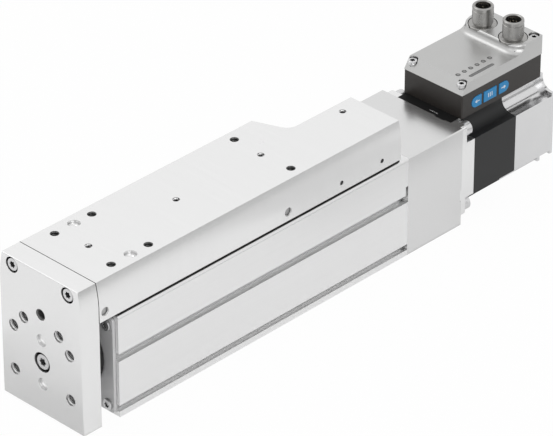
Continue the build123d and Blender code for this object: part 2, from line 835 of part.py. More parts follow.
# Coupling housing: bearing seat in front, room for the coupling behind, motor pilot at the rear
retainer_rear = bearing_rear + retainer_thickness
motor_screw_places = corners(motor_screw_d, motor_screw_d, screw_axis)
retainer_screw_places = polar(retainer_screw_circle, 4, 45)
with BuildPart() as coupling_housing:
    with BuildSketch(section(housing_rear)):
        with Locations((0, body_middle_z)):
            Rectangle(body_width, body_height)
    extrude(amount=housing_length)
    long_edges = coupling_housing.edges().filter_by(Axis.Y)
    chamfer([e for e in long_edges if e.center().Z > body_middle_z], edge_break)
    ring(housing_front - spigot_length, housing_front, spigot_r, spigot_r - spigot_wall)
    ring(bearing_rear, housing_rear, pilot_r + seat_slack, mode=Mode.SUBTRACT)
    ring(bearing_front, bearing_rear, bearing_r, mode=Mode.SUBTRACT)
    ring(housing_front, bearing_front, bearing_r - bearing_lip_step, mode=Mode.SUBTRACT)
    rear_plane = section(housing_rear)
    round_holes(rear_plane, motor_screw_places, m5[0] + seat_slack, -motor_screw_grip)
    round_holes(rear_plane, housing_screw_places, m4[1] + head_slack / 2, -m4[2] - air_gap)
    round_holes(rear_plane, housing_screw_places, m4[0] + head_slack / 2, -housing_length)
    round_holes(section(bearing_rear), retainer_screw_places, m3[0] + seat_slack, -retainer_screw_grip)
    # Slots at the rear edge, one on each side, to lever the motor off
    slot_middle = pry_slot_start + pry_slot_length / 2
    top_middle = body_height - pry_slot_depth / 2
    side_middle = body_width / 2 - pry_slot_depth / 2
    with BuildSketch(rear_plane):
        with Locations((slot_middle, top_middle), (-slot_middle, pry_slot_depth / 2)):
            Rectangle(pry_slot_length, pry_slot_depth)
        with Locations((side_middle, axis_z - slot_middle), (-side_middle, axis_z + slot_middle)):
            Rectangle(pry_slot_depth, pry_slot_length)
    extrude(amount=pry_slot_width, mode=Mode.SUBTRACT)
coupling_housing.part.label = "coupling_housing"
export_step(coupling_housing.part, "parts/coupling_housing.step")

with BuildPart() as housing_screws:
    housing_head_seat = housing_rear - m4[2] - air_gap
    rear_facing = Plane(origin=(0, housing_head_seat, 0), x_dir=(-1, 0, 0), z_dir=(0, 1, 0))
    screw_reach = housing_head_seat - housing_front + housing_screw_grip
    cap_screws(rear_facing, housing_screw_places, m4, screw_reach, driven=False)
housing_screws.part.label = "housing_screws"
export_step(housing_screws.part, "parts/housing_screws.step")

with BuildPart() as bearing_retainer:
    ring(bearing_rear, retainer_rear, pilot_r, retainer_hole_r)
    round_holes(section(retainer_rear), retainer_screw_places, m3[0] + head_slack / 2, -retainer_thickness)
bearing_retainer.part.label = "bearing_retainer"
export_step(bearing_retainer.part, "parts/bearing_retainer.step")

with BuildPart() as retainer_screws:
    behind_retainer = Plane(origin=(0, retainer_rear, 0), x_dir=(-1, 0, 0), z_dir=(0, 1, 0))
    retainer_screw_length = retainer_thickness + retainer_screw_grip
    cap_screws(behind_retainer, retainer_screw_places, m3_low, retainer_screw_length, driven=False)
retainer_screws.part.label = "retainer_screws"
export_step(retainer_screws.part, "parts/retainer_screws.step")


def jaw_sectors(count, start, inner_r, outer_r, angle):
    """Sectors of a ring round the drive axis, as the jaws or the lobes of the coupling."""
    reach = 2 * outer_r
    half = radians(angle / 2)
    with BuildSketch(section(jaws_rear)) as sectors:
        with Locations(screw_axis):
            with PolarLocations(0, count, start):
                Polygon((0, 0), (reach, -reach * tan(half)), (reach, reach * tan(half)), align=None)
            Circle(outer_r, mode=Mode.INTERSECT)
            Circle(inner_r, mode=Mode.SUBTRACT)
    return sectors.sketch


# Jaw coupling: a hub on the screw, a hub on the motor shaft and a star of rubber between
with BuildPart() as coupling_hub_front:
    ring(coupling_front, jaws_front, coupling_r, end_journal_r)
    front_jaws = jaw_sectors(jaw_count, 0, jaw_inner_r, coupling_r, jaw_angle)
    extrude(front_jaws, amount=coupling_jaw_length)
coupling_hub_front.part.label = "coupling_hub_front"
export_step(coupling_hub_front.part, "parts/coupling_hub_front.step")

with BuildPart() as coupling_hub_rear:
    ring(jaws_rear, coupling_rear, coupling_r, shaft_r)
    rear_start = 180 / jaw_count
    rear_jaws = jaw_sectors(jaw_count, rear_start, jaw_inner_r, coupling_r, jaw_angle)
    extrude(rear_jaws, amount=coupling_jaw_length)
coupling_hub_rear.part.label = "coupling_hub_rear"
export_step(coupling_hub_rear.part, "parts/coupling_hub_rear.step")

with BuildPart() as coupling_star:
    lobes = jaw_sectors(2 * jaw_count, rear_start / 2, star_core_r / 2, coupling_r, lobe_angle)
    extrude(lobes, amount=coupling_jaw_length)
    ring(jaws_front, jaws_rear, star_core_r, star_core_r / 2)
coupling_star.part.label = "coupling_star"
export_step(coupling_star.part, "parts/coupling_star.step")


def motor_outline(y, step=0.0):
    """Square of the motor with scalloped corners, shallower by step, at y."""
    cut = scallop_width - step
    with BuildSketch(section(y)) as outline:
        with Locations(screw_axis):
            Rectangle(2 * motor_half, 2 * motor_half)
        with Locations(*corners(motor_half - cut / 2, motor_half - cut / 2, screw_axis)):
            Rectangle(cut, cut, mode=Mode.SUBTRACT)
        reach = motor_half - cut
        points = outline.vertices()
        inner = [v for v in points if max(abs(v.X), abs(v.Y - axis_z)) < reach + edge_break]
        outer = [v for v in points if max(abs(v.X), abs(v.Y - axis_z)) > reach + edge_break]
        fillet(inner, scallop_fillet)
        fillet(outer, scallop_edge_r)
    return outline.sketch


# Motor flange: a square plate with screw lugs in front, scalloped behind them
tie_places = polar(tie_screw_circle, 4, 45)
front_bearing_y = housing_rear + motor_bearing_setback
coil_width = pole_width + 2 * coil_wall
coil_radial = sqrt((back_iron_r - air_gap) ** 2 - (coil_width / 2) ** 2) - coil_inner_r
with BuildPart() as motor_flange:
    with BuildSketch(section(housing_rear + lug_thickness)):
        with Locations(screw_axis):
            RectangleRounded(2 * motor_half, 2 * motor_half, motor_corner_r)
    extrude(amount=lug_thickness)
    extrude(motor_outline(stack_front), amount=flange_thickness - lug_thickness)
    ring(housing_rear - pilot_length, housing_rear, pilot_r)
    ring(housing_rear - pilot_length, stack_front, shaft_r + free_slack, mode=Mode.SUBTRACT)
    bearing_end = front_bearing_y + motor_bearing_length
    ring(front_bearing_y, bearing_end, motor_bearing_r, mode=Mode.SUBTRACT)
    ring(bearing_end, stack_front, back_iron_r, mode=Mode.SUBTRACT)
    round_holes(section(housing_rear), motor_screw_places, m5[0] + head_slack / 2, lug_thickness)
    round_holes(section(stack_front), tie_places, m3_long[0] + seat_slack, -lug_thickness)
motor_flange.part.label = "motor_flange"
export_step(motor_flange.part, "parts/motor_flange.step")

with BuildPart() as motor_screws:
    behind_lugs = Plane(origin=(0, housing_rear + lug_thickness, 0), x_dir=(-1, 0, 0), z_dir=(0, 1, 0))
    cap_screws(behind_lugs, motor_screw_places, m5, lug_thickness + motor_screw_grip - hole_margin)
motor_screws.part.label = "motor_screws"
export_step(motor_screws.part, "parts/motor_screws.step")

# Stator: laminated stack with poles inside, and a coil round each pole
pole_length = back_iron_r - pole_tip_r + hole_margin
with BuildPart() as stator:
    extrude(motor_outline(stack_rear), amount=stack_length)
    ring(stack_front, stack_rear, back_iron_r, mode=Mode.SUBTRACT)
    with BuildSketch(section(stack_rear)):
        with Locations(screw_axis):
            with PolarLocations(pole_tip_r + pole_length / 2, pole_count):
                Rectangle(pole_length, pole_width)
    extrude(amount=stack_length)
    ring(stack_front, stack_rear, pole_tip_r + free_slack / 2, mode=Mode.SUBTRACT)
    round_holes(section(stack_front), tie_places, m3_long[0] + seat_slack, stack_length)
stator.part.label = "stator"
export_step(stator.part, "parts/stator.step")

with BuildPart(section((stack_front + stack_rear) / 2)) as stator_coils:
    coil_length = stack_length + 2 * coil_overhang
    coil_middle_r = coil_inner_r + coil_radial / 2
    with Locations(screw_axis):
        with PolarLocations(coil_middle_r, pole_count):
            Box(coil_radial, coil_width, coil_length)
        with PolarLocations(coil_middle_r, pole_count):
            Box(coil_radial + hole_margin, pole_width, stack_length, mode=Mode.SUBTRACT)
stator_coils.part.label = "stator_coils"
export_step(stator_coils.part, "parts/stator_coils.step")

# Motor rear cover: carries the rear bearing, and has room behind it for the encoder
rear_bearing_y = stack_rear + coil_overhang + air_gap
rear_bearing_end = rear_bearing_y + motor_bearing_length
encoder_floor = rear_bearing_end + motor_bearing_setback
with BuildPart() as motor_rear_cover:
    extrude(motor_outline(cover_rear - rear_lip_length), amount=rear_cover_length - rear_lip_length)
    extrude(motor_outline(cover_rear, rear_lip_step), amount=rear_lip_length)
    ring(stack_rear, rear_bearing_y, back_iron_r, mode=Mode.SUBTRACT)
    ring(rear_bearing_y, rear_bearing_end, motor_bearing_r, mode=Mode.SUBTRACT)
    ring(stack_rear, encoder_floor, shaft_r + free_slack, mode=Mode.SUBTRACT)
    ring(encoder_floor, cover_rear - rear_lip_length, back_iron_r, mode=Mode.SUBTRACT)
    tie_head_seat = cover_rear - m3_long[2] - air_gap
    round_holes(section(stack_rear), tie_places, m3_long[0] + seat_slack, rear_cover_length)
    round_holes(section(cover_rear), tie_places, m3_long[1] + head_slack, tie_head_seat - cover_rear)
    # Port for the wires, up into the electronics case
    port_y = case_rear - cable_port_rear - cable_port_length / 2
    with BuildSketch(Plane.XY.offset(motor_top)):
        with Locations((0, port_y)):
            RectangleRounded(cable_port_width, cable_port_length, cable_port_corner)
    extrude(amount=-(motor_half - back_iron_r / 2), mode=Mode.SUBTRACT)
motor_rear_cover.part.label = "motor_rear_cover"
export_step(motor_rear_cover.part, "parts/motor_rear_cover.step")

with BuildPart() as motor_tie_screws:
    tie_facing = Plane(origin=(0, tie_head_seat, 0), x_dir=(-1, 0, 0), z_dir=(0, 1, 0))
    tie_length = tie_head_seat - stack_front + lug_thickness - hole_margin
    cap_screws(tie_facing, tie_places, m3_long, tie_length)
motor_tie_screws.part.label = "motor_tie_screws"
export_step(motor_tie_screws.part, "parts/motor_tie_screws.step")

# Motor shaft with its rotor, bearings and encoder magnet
inner_race_r = shaft_r + motor_bearing_wall
outer_race_r = motor_bearing_r - motor_bearing_wall
shaft_front = jaws_rear + shaft_end_gap
magnet_y = cover_rear - rear_lip_length - 2 * board_thickness - encoder_gap - encoder_magnet_length
with BuildPart() as motor_shaft:
    ring(shaft_front, magnet_y, shaft_r)
motor_shaft.part.label = "motor_shaft"
export_step(motor_shaft.part, "parts/motor_shaft.step")

with BuildPart() as rotor:
    rotor_middle = (stack_front + stack_rear) / 2
    rotor_front = stack_front + rotor_end_gap
    rotor_rear = stack_rear - rotor_end_gap
    ring(rotor_front, rotor_rear, rotor_magnet_r, shaft_r)
    ring(rotor_front, rotor_middle - rotor_magnet_length / 2, rotor_r, shaft_r)
    ring(rotor_middle + rotor_magnet_length / 2, rotor_rear, rotor_r, shaft_r)
rotor.part.label = "rotor"
export_step(rotor.part, "parts/rotor.step")

bearing_starts = (front_bearing_y, rear_bearing_y)
with BuildPart() as bearing_outer_rings:
    ring(bearing_front, bearing_rear, bearing_r, bearing_r - bearing_outer_wall)
    for y in bearing_starts:
        ring(y, y + motor_bearing_length, motor_bearing_r, outer_race_r)
bearing_outer_rings.part.label = "bearing_outer_rings"
export_step(bearing_outer_rings.part, "parts/bearing_outer_rings.step")

# Inner rings with their balls as one band between the rings
with BuildPart() as bearing_inner_rings:
    ring(bearing_front, bearing_rear, bearing_inner_r, journal_r)
    ball_track_r = bearing_r - bearing_outer_wall - air_gap
    track_margin = bearing_length / 8
    ring(bearing_front + track_margin, bearing_rear - track_margin, ball_track_r, journal_r)
    for y in bearing_starts:
        ring(y, y + motor_bearing_length, inner_race_r, shaft_r)
        ball_track_y = y + motor_bearing_length / 4
        ring(ball_track_y, y + motor_bearing_length * 3 / 4, outer_race_r - air_gap, shaft_r)
bearing_inner_rings.part.label = "bearing_inner_rings"
export_step(bearing_inner_rings.part, "parts/bearing_inner_rings.step")

with BuildPart() as encoder_magnet:
    ring(magnet_y, magnet_y + encoder_magnet_length, encoder_magnet_r)
encoder_magnet.part.label = "encoder_magnet"
export_step(encoder_magnet.part, "parts/encoder_magnet.step")

with BuildPart() as encoder_board:
    board_back = cover_rear - rear_lip_length
    ring(board_back - board_thickness, board_back, encoder_board_r)
    with BuildSketch(section(board_back - board_thickness)):
        with Locations(screw_axis):
            Rectangle(encoder_chip, encoder_chip)
    extrude(amount=board_thickness - air_gap)
encoder_board.part.label = "encoder_board"
export_step(encoder_board.part, "parts/encoder_board.step")

# Electronics case: an open tray on top of the motor, with openings for three keys
case_middle = (case_front + case_rear) / 2
case_inner_half = case_half - case_wall
case_width = 2 * case_half
lid_screw_rows = (case_front + lid_screw_end, case_rear - lid_screw_end)
lid_screw_places = [(side * lid_screw_dx, y) for side in (-1, 1) for y in lid_screw_rows]
post_places = [(side * post_dx, case_middle + end * post_dy) for side in (-1, 1) for end in (-1, 1)]
key_z = case_bottom + key_bottom
board_z = case_bottom + case_wall + post_height


def key_outline(index, grow):
    """Face of a key in the side of the case: round at the outer end of the end keys."""
    start = case_front + key_starts[index] - grow
    width = key_widths[index] + 2 * grow
    height = key_height + 2 * grow
    middle_z = key_z + key_height / 2
    round_ends = ((start,), (), (start + width,))[index]
    with BuildSketch(Plane.YZ) as outline:
        with Locations((start + width / 2, middle_z)):
            Rectangle(width, height)
        for end in round_ends:
            inwards = 1 if end == start else -1
            with Locations((end + inwards * height / 4, middle_z)):
                Rectangle(height / 2, height, mode=Mode.SUBTRACT)
            with Locations((end + inwards * height / 2, middle_z)):
                Circle(height / 2)
    return outline.sketch


with BuildPart() as electronics_case:
    with BuildSketch(Plane.XY.offset(case_bottom)):
        with Locations((0, case_middle)):
            RectangleRounded(case_width, case_length, case_corner_r)
    extrude(amount=case_height)
    with BuildSketch(Plane.XY.offset(case_bottom + case_wall)):
        with Locations((0, case_middle)):
            Rectangle(case_width - 2 * case_wall, case_length - 2 * case_wall)
        with Locations(*lid_screw_places):
            Circle(lid_boss_r, mode=Mode.SUBTRACT)
        with Locations(*post_places):
            Circle(post_r, mode=Mode.SUBTRACT)
    extrude(amount=case_height, mode=Mode.SUBTRACT)
    with BuildSketch(Plane.XY.offset(board_z)):
        with Locations(*post_places):
            Circle(post_r + seat_slack)
    extrude(amount=case_height, mode=Mode.SUBTRACT)
    for index in range(len(key_starts)):
        opening = key_outline(index, key_slack).moved(Location((case_inner_half - hole_margin, 0, 0)))
        extrude(opening, amount=case_wall + 2 * hole_margin, mode=Mode.SUBTRACT)
    with BuildSketch(Plane.XY.offset(case_bottom)):
        with Locations((0, port_y)):
            RectangleRounded(cable_port_width, cable_port_length, cable_port_corner)
    extrude(amount=case_wall, mode=Mode.SUBTRACT)
    round_holes(Plane.XY.offset(case_top), lid_screw_places, m3[0] + seat_slack, case_height - case_wall)
    round_holes(Plane.XY.offset(board_z), post_places, m3[0] + seat_slack, post_height)
    # Groove for the gasket in the top rim
    with BuildSketch(Plane.XY.offset(case_top)) as groove:
        with Locations((0, case_middle)):
            outer = 2 * gasket_inset
            Rectangle(case_width - outer, case_length - outer)
            inner = outer + 2 * gasket_width
            Rectangle(case_width - inner, case_length - inner, mode=Mode.SUBTRACT)
    extrude(amount=-gasket_depth, mode=Mode.SUBTRACT)
electronics_case.part.label = "electronics_case"
export_step(electronics_case.part, "parts/electronics_case.step")

with BuildPart() as case_gasket:
    extrude(groove.sketch, amount=-gasket_depth)
case_gasket.part.label = "case_gasket"
export_step(case_gasket.part, "parts/case_gasket.step")

with BuildPart() as control_board:
    with BuildSketch(Plane.XY.offset(board_z)):
        with Locations((0, case_middle)):
            Rectangle(2 * board_half, board_length)
        with Locations(*post_places):
            Circle(m3[0] + seat_slack, mode=Mode.SUBTRACT)
    extrude(amount=board_thickness)
    with BuildSketch(Plane.XY.offset(board_z + board_thickness)):
        with Locations(*[(x, case_middle + y) for x, y in chip_places]):
            Rectangle(chip_size, chip_size)
    extrude(amount=chip_height)
control_board.part.label = "control_board"
export_step(control_board.part, "parts/control_board.step")

with BuildPart() as board_screws:
    board_top = Plane.XY.offset(board_z + board_thickness)
    cap_screws(board_top, post_places, m3_pan, board_thickness + board_screw_grip, driven=False)
board_screws.part.label = "board_screws"
export_step(board_screws.part, "parts/board_screws.step")

# Three keys in the near side of the case, each with a flange behind the wall
key_flange_front = case_inner_half - key_rest_gap
key_flange_back = key_flange_front - key_flange_height
key_front = case_half + key_proud
switch_tip = key_flange_back - key_travel - key_rest_gap
key_middles = [case_front + s + w / 2 for s, w in zip(key_starts, key_widths)]
for index, key_name in enumerate(key_names):
    with BuildPart() as key:
        cap = key_outline(index, 0).moved(Location((key_flange_front, 0, 0)))
        extrude(cap, amount=key_front - key_flange_front)
        flange = key_outline(index, key_flange).moved(Location((key_flange_back, 0, 0)))
        extrude(flange, amount=key_flange_height)
    key.part.label = key_name
    export_step(key.part, f"parts/{key_name}.step")

# Board behind the keys, with a switch for each
key_board_face = switch_tip - switch_length
key_board_start = case_front + key_starts[0] - key_flange
key_board_length = key_starts[-1] + key_widths[-1] - key_starts[0] + 2 * key_flange
with BuildPart() as key_board:
    with BuildSketch(side_plane(key_board_face - key_board_thickness)):
        with Locations((key_board_start + key_board_length / 2, key_z + key_height / 2)):
            Rectangle(key_board_length, key_height + key_bottom - case_wall + key_bottom - case_wall)
    extrude(amount=key_board_thickness)
    with BuildSketch(side_plane(key_board_face)):
        with Locations(*[(y, key_z + key_height / 2) for y in key_middles]):
            Circle(switch_r)
    extrude(amount=switch_length)
key_board.part.label = "key_board"
export_step(key_board.part, "parts/key_board.step")

# Lid: a casting with a sloped front, a raised pad at the rear for the sockets, and screw recesses
window_places = [(window_x, case_front + window_front + i * window_pitch) for i in range(window_count)]
bar_place = (bar_x, case_front + bar_start + bar_length / 2)
socket_places = [(side * socket_dx, socket_y) for side in (-1, 1)]
front_screw_places = [(side * lid_screw_dx, case_front + lid_screw_end) for side in (-1, 1)]
rear_screw_places = [(side * lid_screw_dx, case_rear - lid_screw_end) for side in (-1, 1)]
front_seat_z = lid_top - lid_recess_front
rear_seat_z = pad_top - lid_recess_rear
with BuildPart() as electronics_lid:
    with BuildSketch(Plane.YZ.offset(-case_half)):
        with BuildLine():
            Polyline(
                (case_front, case_top),
                (case_rear, case_top),
                (case_rear, lid_top),
                (case_front + lid_front_run, lid_top),
                close=True,
            )
        make_face()
    extrude(amount=case_width)
    # Raised pad: straight in front, with its corners led back to the sides
    with BuildSketch(Plane.XY.offset(lid_top)):
        with BuildLine():
            Line((-pad_corner_x, pad_y), (pad_corner_x, pad_y))
            TangentArc((pad_corner_x, pad_y), (case_half, pad_y + pad_corner_run), tangent=(1, 0))
            Polyline(
                (case_half, pad_y + pad_corner_run),
                (case_half, case_rear),
                (-case_half, case_rear),
                (-case_half, pad_y + pad_corner_run),
            )
            TangentArc((-pad_corner_x, pad_y), (-case_half, pad_y + pad_corner_run), tangent=(-1, 0))
        make_face()
    extrude(amount=pad_rise)
    pad_edges = [
        e
        for e in electronics_lid.edges()
        if abs(e.center().X) < case_half - near and pad_y - near < e.center().Y < pad_y + pad_corner_run
    ]
    fillet([e for e in pad_edges if abs(e.center().Z - lid_top) < near], pad_foot_r)
    crest = [
        e
        for e in electronics_lid.edges()
        if abs(e.center().X) < case_half - near
        and abs(e.center().Z - pad_top) < near
        and e.center().Y < pad_y + pad_corner_run
    ]
    fillet(crest, pad_crest_r)
    # Hollow below, solid round the screws
    with BuildSketch(Plane.XY.offset(case_top)):
        with Locations((0, case_middle + lid_front_run / 2)):
            Rectangle(case_width - 2 * case_wall, case_length - 2 * case_wall - lid_front_run)
        with Locations(*lid_screw_places):
            Circle(lid_boss_r + lid_boss_wall, mode=Mode.SUBTRACT)
    extrude(amount=lid_front_rise - lid_wall, mode=Mode.SUBTRACT)
    pad_room_front = socket_y - socket_nut_width / 2 - air_gap
    pad_room_length = case_rear - case_wall - pad_room_front
    with BuildSketch(Plane.XY.offset(case_top)):
        with Locations((0, pad_room_front + pad_room_length / 2)):
            Rectangle(2 * (socket_dx + socket_nut_width / 2 + hole_margin), pad_room_length)
        with Locations(*rear_screw_places):
            Circle(lid_boss_r + lid_boss_wall, mode=Mode.SUBTRACT)
    extrude(amount=pad_top - pad_wall - case_top, mode=Mode.SUBTRACT)
    # Screw recesses and holes
    round_holes(Plane.XY.offset(front_seat_z), front_screw_places, lid_recess_r, -pad_rise)
    round_holes(Plane.XY.offset(rear_seat_z), rear_screw_places, lid_recess_r, -pad_rise)
    round_holes(Plane.XY.offset(case_top), lid_screw_places, m3[0] + head_slack / 2, case_top - pad_top)
    # Seats of the sockets, windows and light bar
    round_holes(Plane.XY.offset(pad_top), socket_places, socket_collar_r + free_slack, socket_collar_length)
    round_holes(Plane.XY.offset(pad_top), socket_places, socket_stem_r + free_slack / 2, pad_wall)
    round_holes(Plane.XY.offset(lid_top), window_places, window_r, lid_wall)
    with BuildSketch(Plane.XY.offset(lid_top)):
        with Locations(Location((*bar_place, 0), (0, 0, 90))):
            SlotOverall(bar_length, bar_width)
    extrude(amount=-lid_wall, mode=Mode.SUBTRACT)
electronics_lid.part.label = "electronics_lid"
export_step(electronics_lid.part, "parts/electronics_lid.step")

with BuildPart() as lid_screws:
    front_length = front_seat_z - case_top + lid_screw_grip
    rear_length = rear_seat_z - case_top + lid_screw_grip
    cap_screws(Plane.XY.offset(front_seat_z), front_screw_places, m3, front_length)
    cap_screws(Plane.XY.offset(rear_seat_z), rear_screw_places, m3, rear_length)
lid_screws.part.label = "lid_screws"
export_step(lid_screws.part, "parts/lid_screws.step")

with BuildPart() as light_windows:
    with BuildSketch(Plane.XY.offset(lid_top)):
        with Locations(*window_places):
            Circle(window_r - seat_slack)
    extrude(amount=-lid_wall)
light_windows.part.label = "light_windows"
export_step(light_windows.part, "parts/light_windows.step")

with BuildPart() as light_bar:
    with BuildSketch(Plane.XY.offset(lid_top)):
        with Locations(Location((*bar_place, 0), (0, 0, 90))):
            SlotOverall(bar_length - 2 * seat_slack, bar_width - 2 * seat_slack)
    extrude(amount=-lid_wall)
light_bar.part.label = "light_bar"
export_step(light_bar.part, "parts/light_bar.step")

# Round sockets: a threaded shell with a collar, a nut below the lid, an insert and its pins
recess_floor = socket_top - socket_recess
stem_bottom = pad_top - socket_collar_length - socket_stem_length
with BuildPart() as socket_shells:
    for socket_x, socket_row in socket_places:
        middle = Plane(origin=(socket_x, socket_row, 0), x_dir=(1, 0, 0), z_dir=(0, -1, 0))
        with BuildSketch(middle) as wall:
            with BuildLine():
                Polyline(
                    (socket_bore_r, stem_bottom),
                    (socket_stem_r, stem_bottom),
                    (socket_stem_r, pad_top - socket_collar_length),
                    (socket_collar_r, pad_top - socket_collar_length),
                    (socket_collar_r, pad_top),
                    (socket_r, pad_top),
                    (socket_r, socket_top - 2 * socket_rim_height),
                    (socket_neck_r, socket_top - 2 * socket_rim_height),
                    (socket_neck_r, socket_top - 1.5 * socket_rim_height),
                    (socket_r, socket_top - socket_rim_height),
                    (socket_rim_r - socket_rim_break, socket_top),
                    (socket_bore_r, socket_top),
                    close=True,
                )
            make_face()
        revolve(wall.sketch, axis=Axis((socket_x, socket_row, 0), (0, 0, 1)))
socket_shells.part.label = "socket_shells"
export_step(socket_shells.part, "parts/socket_shells.step")

with BuildPart() as socket_nuts:
    nut_top_z = pad_top - pad_wall
    with BuildSketch(Plane.XY.offset(nut_top_z)):
        with Locations(*socket_places):
            RegularPolygon(socket_nut_width / 2, 6, major_radius=False)
            Circle(socket_stem_r, mode=Mode.SUBTRACT)
    extrude(amount=-socket_nut_length)
socket_nuts.part.label = "socket_nuts"
export_step(socket_nuts.part, "parts/socket_nuts.step")

pin_places = []
for (socket_x, socket_row), count in zip(socket_places, pin_counts):
    for i in range(count):
        angle = radians(45 + i * 360 / count)
        pin_places.append((socket_x + pin_circle * cos(angle), socket_row + pin_circle * sin(angle)))
with BuildPart() as socket_inserts:
    with BuildSketch(Plane.XY.offset(recess_floor)):
        with Locations(*socket_places):
            Circle(socket_bore_r)
        with Locations(*pin_places):
            Circle(pin_r, mode=Mode.SUBTRACT)
    extrude(amount=stem_bottom - recess_floor)
socket_inserts.part.label = "socket_inserts"
export_step(socket_inserts.part, "parts/socket_inserts.step")

with BuildPart() as socket_pins:
    with BuildSketch(Plane.XY.offset(stem_bottom)):
        with Locations(*pin_places):
            Circle(pin_r)
    extrude(amount=recess_floor + pin_rise - stem_bottom)
socket_pins.part.label = "socket_pins"
export_step(socket_pins.part, "parts/socket_pins.step")
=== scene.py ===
"""Finish of a motor-driven miniature slide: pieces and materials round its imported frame."""

import json
import math

import bmesh
import bpy
from bpy.props import FloatProperty, FloatVectorProperty, IntProperty, PointerProperty
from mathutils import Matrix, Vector


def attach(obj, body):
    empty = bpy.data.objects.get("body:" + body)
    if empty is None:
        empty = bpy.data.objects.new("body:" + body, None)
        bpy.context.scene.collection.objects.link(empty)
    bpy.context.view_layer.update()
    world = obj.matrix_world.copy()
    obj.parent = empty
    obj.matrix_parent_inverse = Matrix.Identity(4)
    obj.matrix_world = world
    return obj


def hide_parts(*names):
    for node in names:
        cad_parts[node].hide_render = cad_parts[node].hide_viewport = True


bl_info = {
    "name": "Miniature linear slide",
    "version": (1, 0, 0),
    "blender": (4, 5, 0),
    "location": "View3D > Sidebar > Slide",
    "description": "Finishes a motor-driven miniature slide round its packed frame",
    "category": "Object",
}

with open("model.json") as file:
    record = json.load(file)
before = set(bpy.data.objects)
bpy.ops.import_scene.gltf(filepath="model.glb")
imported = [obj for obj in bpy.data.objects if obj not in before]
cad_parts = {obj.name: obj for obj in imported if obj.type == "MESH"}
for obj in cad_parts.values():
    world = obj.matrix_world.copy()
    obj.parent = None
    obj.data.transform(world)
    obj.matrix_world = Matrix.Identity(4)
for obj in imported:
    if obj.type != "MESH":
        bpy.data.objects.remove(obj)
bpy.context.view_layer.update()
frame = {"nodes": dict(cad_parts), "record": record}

MM = 0.001
MERGE_DISTANCE = 2e-6
WELD_DISTANCE = 1e-6
EDGE_SEGMENTS = 2
FLAT_TURN = math.radians(1)
SHARP_TURN = math.radians(35)
DRIVE_Z = 31.6
SCREW_COLUMNS = 72
STAR_LOBES = 6
STAR_DEPTH = 0.13
# Rays of the ambient occlusion that paints shade into the recesses
RECESS_SHADE_RAYS = 6
FULL_TURN = 2 * math.pi
TOWARDS_YOKE = (math.pi / 2, 0, 0)
TOWARDS_MOTOR = (-math.pi / 2, 0, 0)
UPWARDS = (0, 0, 0)
OUTWARDS = (0, math.pi / 2, 0)
SLOTS = {part["node"]: part["material_slot"] for part in frame["record"]["subparts"]}
# A node's finish has its slot's name, but where it looks unlike the others of the slot
LOOKS = {
    **SLOTS,
    "slide_side_plugs": "plug_steel",
    "slide_plate": "plate",
    "yoke_plate": "plate",
    "motor_flange": "flange_aluminium",
    "front_cap_screws": "screw_steel",
    "yoke_screws": "screw_steel",
    "rod_screw": "screw_steel",
    "motor_screws": "screw_steel",
    "motor_tie_screws": "screw_steel",
    "lid_screws": "screw_steel",
}
BODIES = {
    node: body for body, members in frame["record"]["behaviour"]["bodies"].items() for node in members
}


# Sizes and colours that a user may change


def length(name, description, default):
    return FloatProperty(name=name, description=description, default=default, unit="LENGTH", precision=5)


def colour(name, description, default):
    return FloatVectorProperty(
        name=name, description=description, default=default, subtype="COLOR", size=3, min=0, max=1
    )


class SlideColours(bpy.types.PropertyGroup):
    """Colours of the slide's finishes"""

    plate: colour("Slide and yoke", "Anodised plates that carry the load", (0.88, 0.88, 0.88))
    profile: colour("Profile body", "Anodised profile", (0.86, 0.86, 0.86))
    housing: colour("Housing", "Anodised coupling housing", (0.74, 0.74, 0.74))
    casting: colour("Motor cover", "Bare rear cover of the motor", (0.72, 0.72, 0.725))
    flange: colour("Motor flange", "Bare flange of the motor", (0.86, 0.86, 0.86))
    lid: colour("Lid", "Silver cover of the electronics", (0.55, 0.55, 0.545))
    case: colour("Case", "Plastic of the electronics case", (0.025, 0.0215, 0.019))
    stack: colour("Stack", "Painted laminations", (0.010, 0.0105, 0.011))
    cap: colour("Front cap", "Cap on the profile", (0.66, 0.66, 0.665))
    keys: colour("Keys", "Key caps", (0.01, 0.25, 0.56))
    signs: colour("Key signs", "Arrows and bars on the keys", (0.75, 0.80, 0.84))
    lenses: colour("Lenses", "Light windows in the lid", (0.22, 0.22, 0.215))


class SlideSizes(bpy.types.PropertyGroup):
    """Sizes of the slide's fine detail"""

    plate_edge: length("Plate edge", "Break on the plates' edges", 0.35 * MM)
    casting_edge: length("Casting edge", "Rounding on the castings' edges", 0.5 * MM)
    case_edge: length("Case edge", "Rounding on the case's edges", 0.3 * MM)
    head_edge: length("Head edge", "Chamfer on the screw heads", 0.25 * MM)
    knurl: length("Knurl", "Depth of the knurl on the screw heads", 0.06 * MM)
    thread_pitch: length("Thread pitch", "Pitch of the sockets' thread", 0.8 * MM)
    thread_depth: length("Thread depth", "Depth of the sockets' thread", 0.09 * MM)
    thread_share: FloatProperty(
        name="Thread share",
        description="Height of a hole's thread over its pitch",
        default=0.42,
        min=0,
        max=0.6,
    )
    head_gap: length("Head gap", "Gap round the heads of the sunk screws", 0.65 * MM)
    seam_rise: length("Seam rise", "Rise of the seam's line over the plates", 0.03 * MM)
    seam_width: length("Seam width", "Width of the dark line between yoke and slide", 0.4 * MM)
    lens_dome: length("Lens dome", "Rise of the lenses over the lid", 0.12 * MM)
    sign_rise: length("Sign rise", "Rise of the signs over the keys", 0.03 * MM)
    turned_steps: IntProperty(
        name="Turned steps", description="Faces round a turned piece", default=96, min=24, max=256
    )


# Meshes


def linked(name, data):
    """A new object, in the scene's collection."""
    thing = bpy.data.objects.new(name, data)
    bpy.context.scene.collection.objects.link(thing)
    return thing


